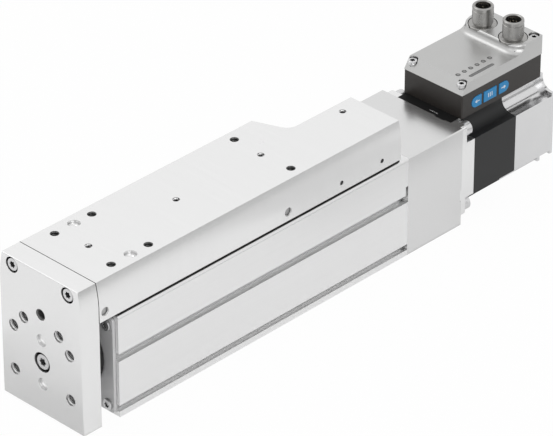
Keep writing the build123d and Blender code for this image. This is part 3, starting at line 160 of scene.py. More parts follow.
def add_piece(name, mesh, node, finish=None):
    """A piece on a CAD node's body. With a finish of its own it stands beside the node, or else for it."""
    piece = linked(name, mesh)
    mesh.materials.clear()
    mesh.materials.append(finishes[finish or LOOKS[node]])
    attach(piece, BODIES[node])
    if not finish:
        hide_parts(node)


def shade(shape):
    """Smooth faces, with the edges kept sharp where the surface turns."""
    for face in shape.faces:
        face.smooth = True
    for edge in shape.edges:
        edge.smooth = len(edge.link_faces) != 2 or edge.calc_face_angle(0) < SHARP_TURN


def plain_mesh(name, shape):
    """The shape as a mesh. The shape is freed."""
    mesh = bpy.data.meshes.new(name)
    shape.to_mesh(mesh)
    shape.free()
    return mesh


def evaluated_mesh(holder):
    """The mesh that a holder's modifiers make. The holder and its own mesh are removed."""
    start = holder.data
    ready = holder.evaluated_get(bpy.context.evaluated_depsgraph_get())
    mesh = bpy.data.meshes.new_from_object(ready)
    bpy.data.objects.remove(holder)
    bpy.data.meshes.remove(start)
    return mesh


def weighted(name, shape):
    """A mesh of the shape, with its large faces kept flat in the shading."""
    holder = linked(name, plain_mesh(name, shape))
    weights = holder.modifiers.new("weights", "WEIGHTED_NORMAL")
    weights.keep_sharp = True
    mesh = evaluated_mesh(holder)
    mesh.name = name
    return mesh


def loft(shape, outlines):
    """Adds a closed solid through a row of outlines of as many corners, in mm."""
    rows = [[shape.verts.new(Vector(corner) * MM) for corner in outline] for outline in outlines]
    for end in (rows[0], rows[-1]):
        shape.faces.new(end)
    for low, high in zip(rows, rows[1:]):
        for i in range(len(low)):
            j = (i + 1) % len(low)
            shape.faces.new((low[i], low[j], high[j], high[i]))
    bmesh.ops.recalc_face_normals(shape, faces=shape.faces)


def soften(shape, width):
    """Rounds the sharp edges of a closed shape."""
    sharp = [e for e in shape.edges if len(e.link_faces) == 2 and e.calc_face_angle(0) > SHARP_TURN]
    bmesh.ops.bevel(
        shape,
        geom=sharp,
        offset=width,
        segments=EDGE_SEGMENTS,
        profile=0.5,
        affect="EDGES",
        clamp_overlap=True,
        loop_slide=True,
    )


def softened_copy(name, node, width):
    """A copy of a CAD node with its edges rounded, in the node's place."""
    shape = bmesh.new()
    shape.from_mesh(frame["nodes"][node].data)
    bmesh.ops.remove_doubles(shape, verts=shape.verts, dist=MERGE_DISTANCE)
    bmesh.ops.dissolve_limit(shape, angle_limit=FLAT_TURN, verts=shape.verts, edges=shape.edges)
    soften(shape, width)
    for face in shape.faces:
        face.smooth = True
    add_piece(name, weighted(name, shape), node)


def turned(shape, profile, middle, steps, along="Y", radius_at=None):
    """Adds a turned solid: profile is (place along the axis, radius) in mm, round a middle in mm."""
    rings = []
    for row, (place, radius) in enumerate(profile):
        ring = []
        for step in range(steps if radius > 0 else 1):
            angle = FULL_TURN * step / steps
            out = radius_at(row, radius, angle, place) if radius_at else radius
            across, up = out * math.cos(angle), out * math.sin(angle)
            if along == "Y":
                point = (middle[0] + across, place, middle[1] + up)
            else:
                point = (middle[0] + across, middle[1] + up, place)
            ring.append(shape.verts.new(Vector(point) * MM))
        rings.append(ring)
    for low, high in zip(rings, rings[1:] + rings[:1]):
        if len(low) == len(high) == 1:
            continue
        for step in range(steps):
            after = (step + 1) % steps
            corners = [low[step % len(low)], low[after % len(low)]]
            corners += [high[after % len(high)], high[step % len(high)]]
            unique = list(dict.fromkeys(corners))
            if len(unique) > 2:
                shape.faces.new(unique)


def turned_piece(name, node, profile, edge):
    """A turned piece on the drive's axis, with its edges rounded, in a CAD node's place."""
    shape = bmesh.new()
    turned(shape, profile, (0, DRIVE_Z), bpy.context.scene.slide_sizes.turned_steps)
    bmesh.ops.recalc_face_normals(shape, faces=shape.faces)
    soften(shape, edge)
    shade(shape)
    add_piece(name, weighted(name, shape), node)


# Node trees


class NodeBuilder:
    """Adds nodes to a tree. The value of an input is another node's socket, or a plain value."""

    def __init__(self, tree):
        self.tree = tree

    def plug(self, socket, value):
        if isinstance(value, bpy.types.NodeSocket):
            self.tree.links.new(value, socket)
        else:
            socket.default_value = value

    def node(self, kind, inputs=(), **settings):
        made = self.tree.nodes.new(kind)
        for key, value in settings.items():
            setattr(made, key, value)
        for key, value in inputs:
            self.plug(made.inputs[key], value)
        return made

    def maths(self, operation, first, second=0.0):
        return self.node("ShaderNodeMath", [(0, first), (1, second)], operation=operation).outputs[0]


# Geometry Nodes: a tree puts one shape on every place of a piece


class Tree(NodeBuilder):
    """A Geometry Nodes tree: its inputs are places, numbers by their labels, a turn and a material"""

    def __init__(self, name, labels):
        super().__init__(bpy.data.node_groups.new(name, "GeometryNodeTree"))
        self.tree.is_modifier = True
        kinds = [("Places", "NodeSocketGeometry")] + [(label, "NodeSocketFloat") for label in labels]
        kinds += [("Turn", "NodeSocketVector"), ("Material", "NodeSocketMaterial")]
        sockets = self.tree.interface
        for label, kind in kinds:
            sockets.new_socket(name=label, in_out="INPUT", socket_type=kind)
        sockets.new_socket(name="Pieces", in_out="OUTPUT", socket_type="NodeSocketGeometry")
        self.inlet = self.tree.nodes.new("NodeGroupInput")
        self.outlet = self.tree.nodes.new("NodeGroupOutput")

    def total(self, terms):
        """Sum of named inputs, each times its share."""
        result = 0.0
        for share, label in terms:
            part = self.maths("MULTIPLY", self.inlet.outputs[label], share)
            result = self.maths("ADD", part, result)
        return result

    def choose(self, index, values):
        """The value that stands at the index."""
        switch = self.node("GeometryNodeIndexSwitch", data_type="FLOAT")
        while len(switch.index_switch_items) < len(values):
            switch.index_switch_items.new()
        self.plug(switch.inputs["Index"], index)
        for place, value in enumerate(values):
            self.plug(switch.inputs[str(place)], value)
        return switch.outputs[0]

    def finish(self, shape):
        """Puts the shape on every place, makes it real and gives it the material."""
        inputs = [("Points", self.inlet.outputs["Places"]), ("Instance", shape)]
        inputs.append(("Rotation", self.inlet.outputs["Turn"]))
        instances = self.node("GeometryNodeInstanceOnPoints", inputs)
        real = self.node("GeometryNodeRealizeInstances", [("Geometry", instances.outputs[0])])
        inputs = [("Geometry", real.outputs[0]), ("Material", self.inlet.outputs["Material"])]
        painted = self.node("GeometryNodeSetMaterial", inputs)
        self.plug(self.outlet.inputs[0], painted.outputs[0])


def turned_tree(name, labels, rows):
    """Turned pieces on the places. A row is radius and height terms, then star and knurl shares if any."""
    tree = Tree(name, labels)
    maths = tree.maths
    rows = [(*row, 0, 0)[:4] for row in rows]
    columns = SCREW_COLUMNS + 1
    size = [("Vertices X", len(rows)), ("Vertices Y", columns)]
    grid = tree.node("GeometryNodeMeshGrid", size)
    index = tree.node("GeometryNodeInputIndex").outputs[0]
    row = maths("FLOOR", maths("DIVIDE", maths("ADD", index, 0.5), columns))
    column = maths("SUBTRACT", index, maths("MULTIPLY", row, columns))
    angle = maths("MULTIPLY", column, FULL_TURN / SCREW_COLUMNS)
    lobes = maths("COSINE", maths("MULTIPLY", angle, STAR_LOBES))
    flat = maths("MULTIPLY", maths("SUBTRACT", lobes, 1.0), STAR_DEPTH)
    radius = tree.choose(row, [tree.total(r[0]) for r in rows])
    height = tree.choose(row, [tree.total(r[1]) for r in rows])
    star = tree.choose(row, [float(r[2]) for r in rows])
    shaped = maths("ADD", 1.0, maths("MULTIPLY", star, flat))
    reach = maths("MULTIPLY", radius, shaped)
    if "Knurl" in labels:
        knurl = tree.choose(row, [float(r[3]) for r in rows])
        groove = maths("MULTIPLY", maths("FLOORED_MODULO", column, 2.0), knurl)
        reach = maths("SUBTRACT", reach, maths("MULTIPLY", groove, tree.inlet.outputs["Knurl"]))
    across = maths("MULTIPLY", reach, maths("COSINE", angle))
    along = maths("MULTIPLY", reach, maths("SINE", angle))
    point = tree.node("ShaderNodeCombineXYZ", [(0, across), (1, along), (2, height)]).outputs[0]
    placed = tree.node("GeometryNodeSetPosition", [("Geometry", grid.outputs["Mesh"]), ("Position", point)])
    inputs = [("Geometry", placed.outputs[0]), ("Distance", WELD_DISTANCE)]
    merged = tree.node("GeometryNodeMergeByDistance", inputs)
    tree.finish(merged.outputs[0])
    return tree.tree


THREAD_LABELS = ("Radius", "Pitch", "Length", "Height")


def thread_tree():
    """A thread's ridge in each hole: it winds along +Z from the hole's place, on the hole's wall."""
    tree = Tree("Thread", THREAD_LABELS)
    radius, pitch, reach, height = (tree.inlet.outputs[label] for label in THREAD_LABELS)
    spiral = tree.node(
        "GeometryNodeCurveSpiral",
        [
            ("Resolution", 20),
            ("Rotations", tree.maths("DIVIDE", reach, pitch)),
            ("Start Radius", radius),
            ("End Radius", radius),
            ("Height", reach),
        ],
    )
    ridge = tree.node("GeometryNodeCurvePrimitiveCircle", [("Resolution", 4), ("Radius", height)])
    wound = tree.node(
        "GeometryNodeCurveToMesh",
        [("Curve", spiral.outputs[0]), ("Profile Curve", ridge.outputs[0]), ("Fill Caps", True)],
    )
    tree.finish(wound.outputs[0])
    return tree.tree


def grown(tree, places, settings):
    """The mesh that a tree makes on a list of places, in mm."""
    start = bpy.data.meshes.new("places")
    start.from_pydata([Vector(p) * MM for p in places], [], [])
    holder = linked("places", start)
    modifier = holder.modifiers.new("pieces", "NODES")
    modifier.node_group = tree
    for socket in tree.interface.items_tree:
        if socket.in_out == "INPUT" and socket.name in settings:
            modifier[socket.identifier] = settings[socket.name]
    return evaluated_mesh(holder)


def in_mm(labels, values, **others):
    """A tree's settings: the labels' values, which are in mm, and others as they are."""
    return {**{label: value * MM for label, value in zip(labels, values)}, **others}


def repeated_piece(name, node, tree, places, settings, finish=None):
    """One piece from a tree on its places. It takes the finish as add_piece does."""
    mesh = grown(tree, places, {**settings, "Material": finishes[finish or LOOKS[node]]})
    shape = bmesh.new()
    shape.from_mesh(mesh)
    bpy.data.meshes.remove(mesh)
    bmesh.ops.recalc_face_normals(shape, faces=shape.faces)
    shade(shape)
    add_piece(name, plain_mesh(name, shape), node, finish)


# Rows of the turned trees, as turned_tree takes them

CAP_SCREW_LABELS = ("Head radius", "Head height", "Socket radius", "Socket depth", "Shank radius")
CAP_SCREW_LABELS += ("Shank length", "Edge", "Knurl")
TOP, WIDE, EDGE = (1, "Head height"), (1, "Head radius"), (-1, "Edge")
CAP_SCREW_ROWS = (
    ([], [TOP, (-1, "Socket depth")], 1),
    ([(1, "Socket radius")], [TOP, (-1, "Socket depth")], 1),
    ([(1, "Socket radius")], [TOP, (-0.3, "Edge")], 1),
    ([(1, "Socket radius"), (0.5, "Edge")], [TOP], 1),
    ([WIDE, EDGE], [TOP]),
    ([WIDE], [TOP, EDGE]),
    ([WIDE], [TOP, (-1.4, "Edge")], 0, 1),
    ([WIDE], [(1.4, "Edge")], 0, 1),
    ([WIDE], [EDGE, (1.5, "Edge")]),
    ([WIDE, (-0.5, "Edge")], []),
    ([(1, "Shank radius")], []),
    ([(1, "Shank radius")], [(-1, "Shank length"), (1, "Edge")]),
    ([(0.8, "Shank radius")], [(-1, "Shank length")]),
    ([], [(-1, "Shank length")]),
)
PIN_LABELS = ("Radius", "Rise")
PIN_ROWS = (
    ([], [(1, "Rise")]),
    ([(0.5, "Radius")], [(1, "Rise"), (-0.1, "Radius")]),
    ([(0.87, "Radius")], [(1, "Rise"), (-0.5, "Radius")]),
    ([(1, "Radius")], [(1, "Rise"), (-1, "Radius")]),
    ([(1, "Radius")], []),
    ([], []),
)
SEAT_LABELS = ("Radius", "Depth")
SEAT_ROWS = (
    ([], [(-1, "Depth")]),
    ([(0.7, "Radius")], [(-1, "Depth")]),
    ([(0.9, "Radius")], [(-0.6, "Depth")]),
    ([(1, "Radius")], [(-0.1, "Depth")]),
    ([(1, "Radius")], [(-3, "Depth")]),
    ([], [(-3, "Depth")]),
)
LENS_LABELS = ("Radius", "Depth", "Dome")
LENS_ROWS = (
    ([], [(1, "Dome")]),
    ([(0.35, "Radius")], [(0.86, "Dome")]),
    ([(0.6, "Radius")], [(0.4, "Dome")]),
    ([(0.66, "Radius")], [(-2.5, "Dome")]),
    ([(0.9, "Radius")], [(-2.5, "Dome")]),
    ([(0.95, "Radius")], [(-0.3, "Dome")]),
    ([(1, "Radius")], [(-0.5, "Dome")]),
    ([(1, "Radius")], [(-1, "Depth")]),
    ([], [(-1, "Depth")]),
)


# Materials: every pattern reads Object coordinates, in metres


class Finish(NodeBuilder):
    """A material with a Principled shader, and patterns added to it one by one"""

    def __init__(self, name, base, metallic, roughness):
        self.material = bpy.data.materials.new(name)
        self.material.use_nodes = True
        super().__init__(self.material.node_tree)
        self.shader = self.tree.nodes["Principled BSDF"]
        self.base = (*base, 1.0)
        self.set_input("Base Color", self.base)
        self.set_input("Metallic", metallic)
        self.set_input("Roughness", roughness)
        self.roughness = roughness
        self.coordinates = self.tree.nodes.new("ShaderNodeTexCoord").outputs["Object"]
        self.normal = None

    def set_input(self, name, value):
        self.plug(self.shader.inputs[name], value)

    def ranged(self, pattern, *limits):
        names = ("From Min", "From Max", "To Min", "To Max")
        inputs = [("Value", pattern)] + [pair for pair in zip(names, limits) if pair[1] is not None]
        return self.node("ShaderNodeMapRange", inputs).outputs[0]

    def tinted(self, share):
        return (*(min(1.0, part * share) for part in self.base[:3]), 1.0)

    def mix_base(self, factor, below, above):
        """Base colour from a mix of two colours, or of a colour and what was there before."""
        mix = self.node("ShaderNodeMix", [("Factor", factor), (6, below), (7, above)], data_type="RGBA")
        self.set_input("Base Color", mix.outputs[2])

    def noise(self, scale, detail=2.0, stretch=(1, 1, 1)):
        mapped = self.node("ShaderNodeMapping", [("Vector", self.coordinates), ("Scale", stretch)])
        inputs = [("Vector", mapped.outputs[0]), ("Scale", scale), ("Detail", detail)]
        return self.node("ShaderNodeTexNoise", inputs).outputs[0]

    def lines(self, scale, direction="Y", distortion=0.0):
        inputs = [("Vector", self.coordinates), ("Scale", scale), ("Distortion", distortion)]
        wave = self.node("ShaderNodeTexWave", inputs, bands_direction=direction)
        return wave.outputs["Fac"]

    def vary_colour(self, pattern, low, high):
        """Base colour times low where the pattern is 0, and times high where it is 1."""
        self.mix_base(pattern, self.tinted(low), self.tinted(high))

    def vary_roughness(self, pattern, spread):
        varied = self.ranged(pattern, None, None, self.roughness - spread, self.roughness + spread)
        self.set_input("Roughness", varied)

    def bump(self, pattern, strength, distance):
        inputs = [("Height", pattern), ("Strength", strength), ("Distance", distance * MM)]
        if self.normal:
            inputs.append(("Normal", self.normal))
        made = self.node("ShaderNodeBump", inputs)
        self.normal = made.outputs[0]
        self.set_input("Normal", self.normal)

    def darken_recesses(self, reach, low, closed=0.15, open_share=0.55):
        """Paints shade into the base colour: darkens holes, slots and seams, where the faces round a point
        hide most of what is outside.
        """
        seen = self.node("ShaderNodeAmbientOcclusion", [("Distance", reach * MM)], samples=RECESS_SHADE_RAYS)
        source = self.shader.inputs["Base Color"]
        unshaded = source.links[0].from_socket if source.is_linked else self.base
        self.mix_base(self.ranged(seen.outputs["AO"], closed, open_share), self.tinted(low), unshaded)


def anodised(name, base, roughness=0.34, metallic=0.75, closed=0.15, open_share=0.55):
    finish = Finish(name, base, metallic, roughness)
    finish.vary_colour(finish.noise(1.0, 3.0, (900, 12, 900)), 0.975, 1.015)
    finish.vary_roughness(finish.noise(60, 3.0), 0.03)
    finish.bump(finish.noise(1800, 2.0), 0.03, 0.01)
    # Painted shade: the base colour darkens in holes, slots and seams where the occlusion falls below
    # open_share
    finish.darken_recesses(5.0, 0.06, closed, open_share)
    return finish.material


def milled(name, base):
    """A milled and anodised plate, with faint cutter lines across it and painted shade in its holes and
    seams.
    """
    finish = Finish(name, base, 0.8, 0.26)
    finish.vary_colour(finish.noise(1.0, 3.0, (14, 500, 14)), 0.97, 1.01)
    finish.vary_roughness(finish.noise(45, 3.0), 0.03)
    finish.bump(finish.lines(180, "Y", 0.4), 0.02, 0.01)
    finish.darken_recesses(5.0, 0.05)
    return finish.material


def cast(name, base, roughness=0.2, grain=0.02, reach=3.0):
    """Smooth bare metal, with a fine grain, and painted shade in its recesses within reach mm when reach is
    given.
    """
    finish = Finish(name, base, 0.95, roughness)
    finish.vary_colour(finish.noise(60, 4.0), 0.96, 1.02)
    finish.vary_roughness(finish.noise(90, 3.0), 0.03)
    finish.bump(finish.noise(1500, 3.0), grain, 0.02)
    if reach:
        finish.darken_recesses(reach, 0.08)
    return finish.material


def turned_metal(name, base, roughness=0.24, direction="Y", metallic=0.97, recess_shade=(2.0, 0.05)):
    """Turned metal. Its recess settings paint shade into its holes and sockets, or None leaves its holes
    light.
    """
    finish = Finish(name, base, metallic, roughness)
    finish.vary_colour(finish.noise(120, 3.0), 0.96, 1.03)
    finish.vary_roughness(finish.noise(300, 2.0), 0.03)
    finish.bump(finish.lines(900, direction, 0.2), 0.04, 0.02)
    if recess_shade:
        finish.darken_recesses(*recess_shade)
    return finish.material


def matt(name, base, roughness, tint, grain, spread=None):
    """A finish that isn't metal: each pattern holds its noise's scale and detail, then its reach."""
    finish = Finish(name, base, 0.0, roughness)
    finish.vary_colour(finish.noise(*tint[:2]), *tint[2:])
    if spread:
        finish.vary_roughness(finish.noise(*spread[:2]), *spread[2:])
    finish.bump(finish.noise(*grain[:2]), *grain[2:])
    return finish


def matt_black(name, base):
    """Hardly reflects, for dark lines."""
    finish = matt(name, base, 0.6, (200, 2.0, 0.8, 1.2), (2500, 2.0, 0.1, 0.02))
    finish.set_input("Specular IOR Level", 0.15)
    return finish.material


def plastic(name, base, roughness=0.5, grain=0.25):
    tint, spread = (220, 3.0, 0.92, 1.07), (600, 2.0, 0.05)
    return matt(name, base, roughness, tint, (3200, 3.0, grain, 0.04), spread).material


def rubber(name, base):
    tint, spread = (160, 4.0, 0.85, 1.2), (500, 3.0, 0.08)
    return matt(name, base, 0.72, tint, (1800, 4.0, 0.25, 0.05), spread).material


def coated_board(name, base):
    return matt(name, base, 0.38, (350, 5.0, 0.75, 1.3), (900, 4.0, 0.12, 0.03)).material


def laminated(name, base):
    """Painted stack, with the lines of its sheets."""
    finish = Finish(name, base, 0.1, 0.5)
    finish.vary_colour(finish.noise(120, 3.0), 0.9, 1.12)
    finish.bump(finish.lines(640, "Y"), 0.2, 0.03)
    finish.bump(finish.noise(1800, 3.0), 0.12, 0.03)
    return finish.material


def wound(name, base):
    finish = Finish(name, base, 0.6, 0.35)
    finish.vary_colour(finish.lines(900, "Y", 0.5), 0.7, 1.1)
    finish.bump(finish.lines(900, "Y", 0.5), 0.5, 0.1)
    return finish.material


def lens(name, base):
    finish = Finish(name, base, 0.0, 0.22)
    finish.vary_colour(finish.noise(700, 2.0), 0.9, 1.1)
    # Painted shade in the seat round each lens
    finish.darken_recesses(0.8, 0.05, 0.2, 0.8)
    finish.set_input("Coat Weight", 0.6)
    finish.set_input("Coat Roughness", 0.08)
    return finish.material


finishes = {}


def make_finishes(colours):
    """Fills the finishes by the name of the record's material slots and of this object's own pieces."""
    grey, dark, bright = (0.64, 0.64, 0.645), (0.10, 0.10, 0.105), (0.62, 0.62, 0.625)
    finishes.update(
        plate=milled("plate_anodised", colours.plate),
        hole_thread=turned_metal("hole_thread", (0.62, 0.62, 0.62), 0.3, recess_shade=None),
        # Dark thread as painted shade in holes that lie in shade
        shaded_thread=turned_metal("shaded_thread", (0.17, 0.17, 0.17), 0.35, recess_shade=None),
        plug_steel=turned_metal("plug_steel", (0.42, 0.42, 0.42), 0.3, recess_shade=None),
        screw_steel=turned_metal("screw_steel", (0.70, 0.70, 0.705), 0.28, recess_shade=(2.5, 0.03, 0.35, 0.8)),
        white_anodised=anodised("profile_anodised", colours.profile, closed=0.02, open_share=0.2),
        housing_aluminium=anodised("housing_anodised", colours.housing, 0.2, 0.95),
        dark_cap=turned_metal("cap_metal", colours.cap, 0.42, metallic=0.3),
        buffer_rubber=rubber("buffer_rubber", (0.014, 0.014, 0.014)),
        bright_steel=turned_metal("bright_steel", grey),
        dark_steel=turned_metal("dark_steel", dark, 0.35),
        ground_steel=turned_metal("ground_steel", bright, 0.14),
        bronze=turned_metal("bush_bronze", (0.42, 0.27, 0.11), 0.32),
        guide_plastic=plastic("guide_plastic", (0.55, 0.52, 0.46), 0.45),
        seal_rubber=rubber("seal_rubber", (0.02, 0.02, 0.02)),
        cast_aluminium=cast("casting_bare", colours.casting, reach=None),
        flange_aluminium=cast("flange_bare", colours.flange, reach=6.0),
        lamination=laminated("stack_paint", colours.stack),
        copper=wound("coil_wire", (0.55, 0.20, 0.08)),
        magnet=turned_metal("magnet", (0.05, 0.05, 0.053), 0.4),
        case_plastic=plastic("case_plastic", colours.case, 0.48, 0.3),
        lid_casting=cast("lid_coating", colours.lid, 0.34, 0.12),
        board_green=coated_board("board_coating", (0.01, 0.09, 0.035)),
        key_blue=plastic("key_plastic", colours.keys, 0.42, 0.1),
        sign_white=plastic("key_sign", colours.signs, 0.5, 0.05),
        window_clear=lens("lens_plastic", colours.lenses),
        bar_blue=lens("bar_plastic", (0.10, 0.10, 0.10)),
        dark_line=matt_black("dark_line", (0.006, 0.006, 0.006)),
        socket_nickel=turned_metal("socket_nickel", (0.38, 0.375, 0.365), 0.28, "Z", recess_shade=None),
        socket_insert=plastic("socket_insert", (0.012, 0.012, 0.012), 0.45, 0.1),
        gold_pins=turned_metal("pin_plating", (0.16, 0.14, 0.11), 0.3, "Z"),
        star_red=rubber("star_elastomer", (0.33, 0.02, 0.012)),
        coupling_alloy=turned_metal("coupling_alloy", (0.45, 0.45, 0.47), 0.3),
    )


# Operators: one for each piece or group of like pieces


class SLIDE_OT_frame_finishes(bpy.types.Operator):
    """Give every node of the frame its material"""

    bl_idname = "slide.frame_finishes"
    bl_label = "Frame finishes"

    def execute(self, context):
        make_finishes(context.scene.slide_colours)
        for node, thing in frame["nodes"].items():
            thing.data.materials.clear()
            thing.data.materials.append(finishes[LOOKS[node]])
        return {"FINISHED"}


class SLIDE_OT_load_plates(bpy.types.Operator):
    """Slide plate and yoke plate with broken edges"""

    bl_idname = "slide.load_plates"
    bl_label = "Load plates"

    def execute(self, context):
        edge = context.scene.slide_sizes.plate_edge
        softened_copy("slide_plate_milled", "slide_plate", edge)
        softened_copy("yoke_plate_milled", "yoke_plate", edge)
        return {"FINISHED"}


class SLIDE_OT_fixed_housings(bpy.types.Operator):
    """Profile body, front cap and coupling housing with broken edges"""

    bl_idname = "slide.fixed_housings"
    bl_label = "Fixed housings"

    def execute(self, context):
        edge = context.scene.slide_sizes.plate_edge
        softened_copy("profile_body_extruded", "profile_body", edge / 2)
        softened_copy("front_cap_coated", "front_cap", edge / 2)
        softened_copy("coupling_housing_milled", "coupling_housing", edge)
        return {"FINISHED"}


class SLIDE_OT_motor_castings(bpy.types.Operator):
    """Flange, stack and rear cover of the motor with rounded edges"""

    bl_idname = "slide.motor_castings"
    bl_label = "Motor castings"

    def execute(self, context):
        edge = context.scene.slide_sizes.casting_edge
        softened_copy("motor_flange_cast", "motor_flange", edge)
        softened_copy("stator_painted", "stator", edge / 2)
        softened_copy("rear_cover_cast", "motor_rear_cover", edge)
        return {"FINISHED"}


class SLIDE_OT_electronics(bpy.types.Operator):
    """Case and lid of the electronics with rounded edges"""

    bl_idname = "slide.electronics"
    bl_label = "Electronics"

    def execute(self, context):
        edge = context.scene.slide_sizes.case_edge
        softened_copy("electronics_case_moulded", "electronics_case", edge)
        softened_copy("electronics_lid_cast", "electronics_lid", edge)
        return {"FINISHED"}


class SLIDE_OT_rod_and_buffer(bpy.types.Operator):
    """Piston rod, wiper and buffer ring as turned pieces"""

    bl_idname = "slide.rod_and_buffer"
    bl_label = "Rod and buffer"

    def execute(self, context):
        rod, rod_bore, screw_hole, skirt = 10.0, 7.2, 2.95, 16.4
        front, bore_front, skirt_front, rear = -12.5, 9.5, 146, 152
        profile = [(front, screw_hole), (front, rod), (skirt_front, rod), (skirt_front, skirt), (rear, skirt)]
        profile += [(rear, rod_bore), (bore_front, rod_bore), (bore_front, screw_hole)]
        turned_piece("piston_rod_ground", "piston_rod", profile, 0.25 * MM)
        rows = (
            ("end_buffer_moulded", "end_buffer", (-5.0, -2.0), (12.0, 21.5), 0.9),
            ("rod_wiper_moulded", "rod_wiper", (-2.0, 1.0), (10.06, 12.6), 0.3),
        )
        for name, node, (low, high), (inner, outer), edge in rows:
            profile = [(low, inner), (low, outer), (high, outer), (high, inner)]
            turned_piece(name, node, profile, edge * MM)
        return {"FINISHED"}


# A screw's socket: its radius and depth over its head's radius and height
SOCKET_SHARE = 0.56
SOCKET_DEPTH_SHARE = 0.6


def four_places(dx, dz, middle_z, y):
    """The corners of a rectangle round the middle plane, at one y."""
    return [(i * dx, y, middle_z + j * dz) for i in (-1, 1) for j in (-1, 1)]


class SLIDE_OT_cap_screws(bpy.types.Operator):
    """Screws of the cap, yoke, rod, motor and lid, with their heads and sockets"""

    bl_idname = "slide.cap_screws"
    bl_label = "Cap screws"

    def execute(self, context):
        sizes = context.scene.slide_sizes
        tree = turned_tree("Cap screw", CAP_SCREW_LABELS, CAP_SCREW_ROWS)
        tie = 20.6 / math.sqrt(2)
        motor_places = four_places(23.57, 23.57, DRIVE_Z, 263.5)
        lid_places = [(-18, 269.4, 77.9), (18, 269.4, 77.9), (-18, 328.2, 83.0), (18, 328.2, 83.0)]
        # name, node, places, head radius, head height, shank radius, shank length
        rows = (
            ("cap_screw_set", "front_cap_screws", four_places(23.7, 24.2, 30.5, -2), 3.1, 1.3, 1.95, 14),
            ("yoke_screw_set", "yoke_screws", [(-20.3, -19.7, 81.3), (20.3, -19.7, 81.3)], 4.25, 5, 2.45, 21),
            ("rod_screw_steel", "rod_screw", [(0, -20.1, DRIVE_Z)], 5.0, 4.6, 2.95, 20),
            ("motor_screw_set", "motor_screws", motor_places, 4.25, 5, 2.45, 13.5),
            ("tie_screw_set", "motor_tie_screws", four_places(tie, tie, DRIVE_Z, 332.7), 2.0, 2.0, 1.5, 67),
            ("lid_screw_set", "lid_screws", lid_places, 2.7, 2.0, 1.45, 9.7),
        )
        for name, node, places, head, height, shank, reach in rows:
            turn = UPWARDS if "lid" in name else TOWARDS_MOTOR if places[0][1] > 0 else TOWARDS_YOKE
            if name in ("yoke_screw_set", "rod_screw_steel"):
                head -= sizes.head_gap / MM
            values = (head, height, head * SOCKET_SHARE, height * SOCKET_DEPTH_SHARE, shank, reach)
            fine = {"Edge": sizes.head_edge, "Knurl": sizes.knurl, "Turn": turn}
            settings = in_mm(CAP_SCREW_LABELS, values, **fine)
            repeated_piece(name, node, tree, places, settings)
        return {"FINISHED"}


class SLIDE_OT_hole_threads(bpy.types.Operator):
    """Threads in the tapped holes of the slide plate and the yoke plate, dark ones as painted shade in the
    holes that lie in shade, and a dark ridge as painted shade in the yoke's plain hole
    """

    bl_idname = "slide.hole_threads"
    bl_label = "Hole threads"

    def execute(self, context):
        share = context.scene.slide_sizes.thread_share
        tree = thread_tree()
        top = [(x, y, 75.5) for x in (-20.7, 20.7) for y in (5.0, 31.0, 134.3)]
        yoke = four_places(20.6, 13.4, DRIVE_Z, -24.3) + [(-12.9, -24.3, 53.1), (12.9, -24.3, 53.1)]
        side = [(26.4, y, 68.4) for y in (163.3, 194.3)]
        rail = [(0, y, 76.0) for y in (9.0, 71.0, 133.0, 195.0)]
        plugs = [(28.9, y, 68.4) for y in (-8.4, 123.0)]
        plain = [(0, -24.4, 60.5)]
        # name, node, places, radius, pitch, length, turn, finish
        rows = (
            # The top holes, the side holes and the yoke's plain hole take the dark thread as painted shade
            ("top_hole_threads", "slide_plate", top, 2.5, 1.0, 10.3, UPWARDS, "shaded_thread"),
            ("yoke_hole_threads", "yoke_plate", yoke, 3.4, 1.25, 11.0, TOWARDS_MOTOR, "hole_thread"),
            ("yoke_plain_hole_shade", "yoke_plate", plain, 3.25, 0.6, 11.0, TOWARDS_MOTOR, "shaded_thread"),
            ("side_hole_threads", "slide_plate", side, 1.3, 0.5, 3.2, OUTWARDS, "shaded_thread"),
            ("side_plug_threads", "slide_plate", plugs, 2.5, 0.5, 0.75, OUTWARDS, "hole_thread"),
            ("rail_hole_threads", "slide_plate", rail, 2.0, 0.7, 9.6, UPWARDS, "plate"),
        )
        for name, node, places, radius, pitch, reach, turn, finish in rows:
            settings = in_mm(THREAD_LABELS, (radius, pitch, reach, pitch * share), Turn=turn)
            repeated_piece(name, node, tree, places, settings, finish)
        return {"FINISHED"}


class SLIDE_OT_locating_seats(bpy.types.Operator):
    """Bright dished seats in the locating recesses of the plates"""

    bl_idname = "slide.locating_seats"
    bl_label = "Locating seats"

    def execute(self, context):
        tree = turned_tree("Locating seat", SEAT_LABELS, SEAT_ROWS)
        top = [(x, 18.5, 84.6) for x in (-20.7, 20.7)]
        yoke = [(0, -23.5, z) for z in (18.3, 44.9)]
        rows = (
            ("top_locating_seats", "slide_plate", top, UPWARDS),
            ("yoke_locating_seats", "yoke_plate", yoke, TOWARDS_YOKE),
        )
        radius, depth = 2.1, 0.5
        for name, node, places, turn in rows:
            settings = in_mm(SEAT_LABELS, (radius, depth), Turn=turn)
            repeated_piece(name, node, tree, places, settings, "plate")
        return {"FINISHED"}


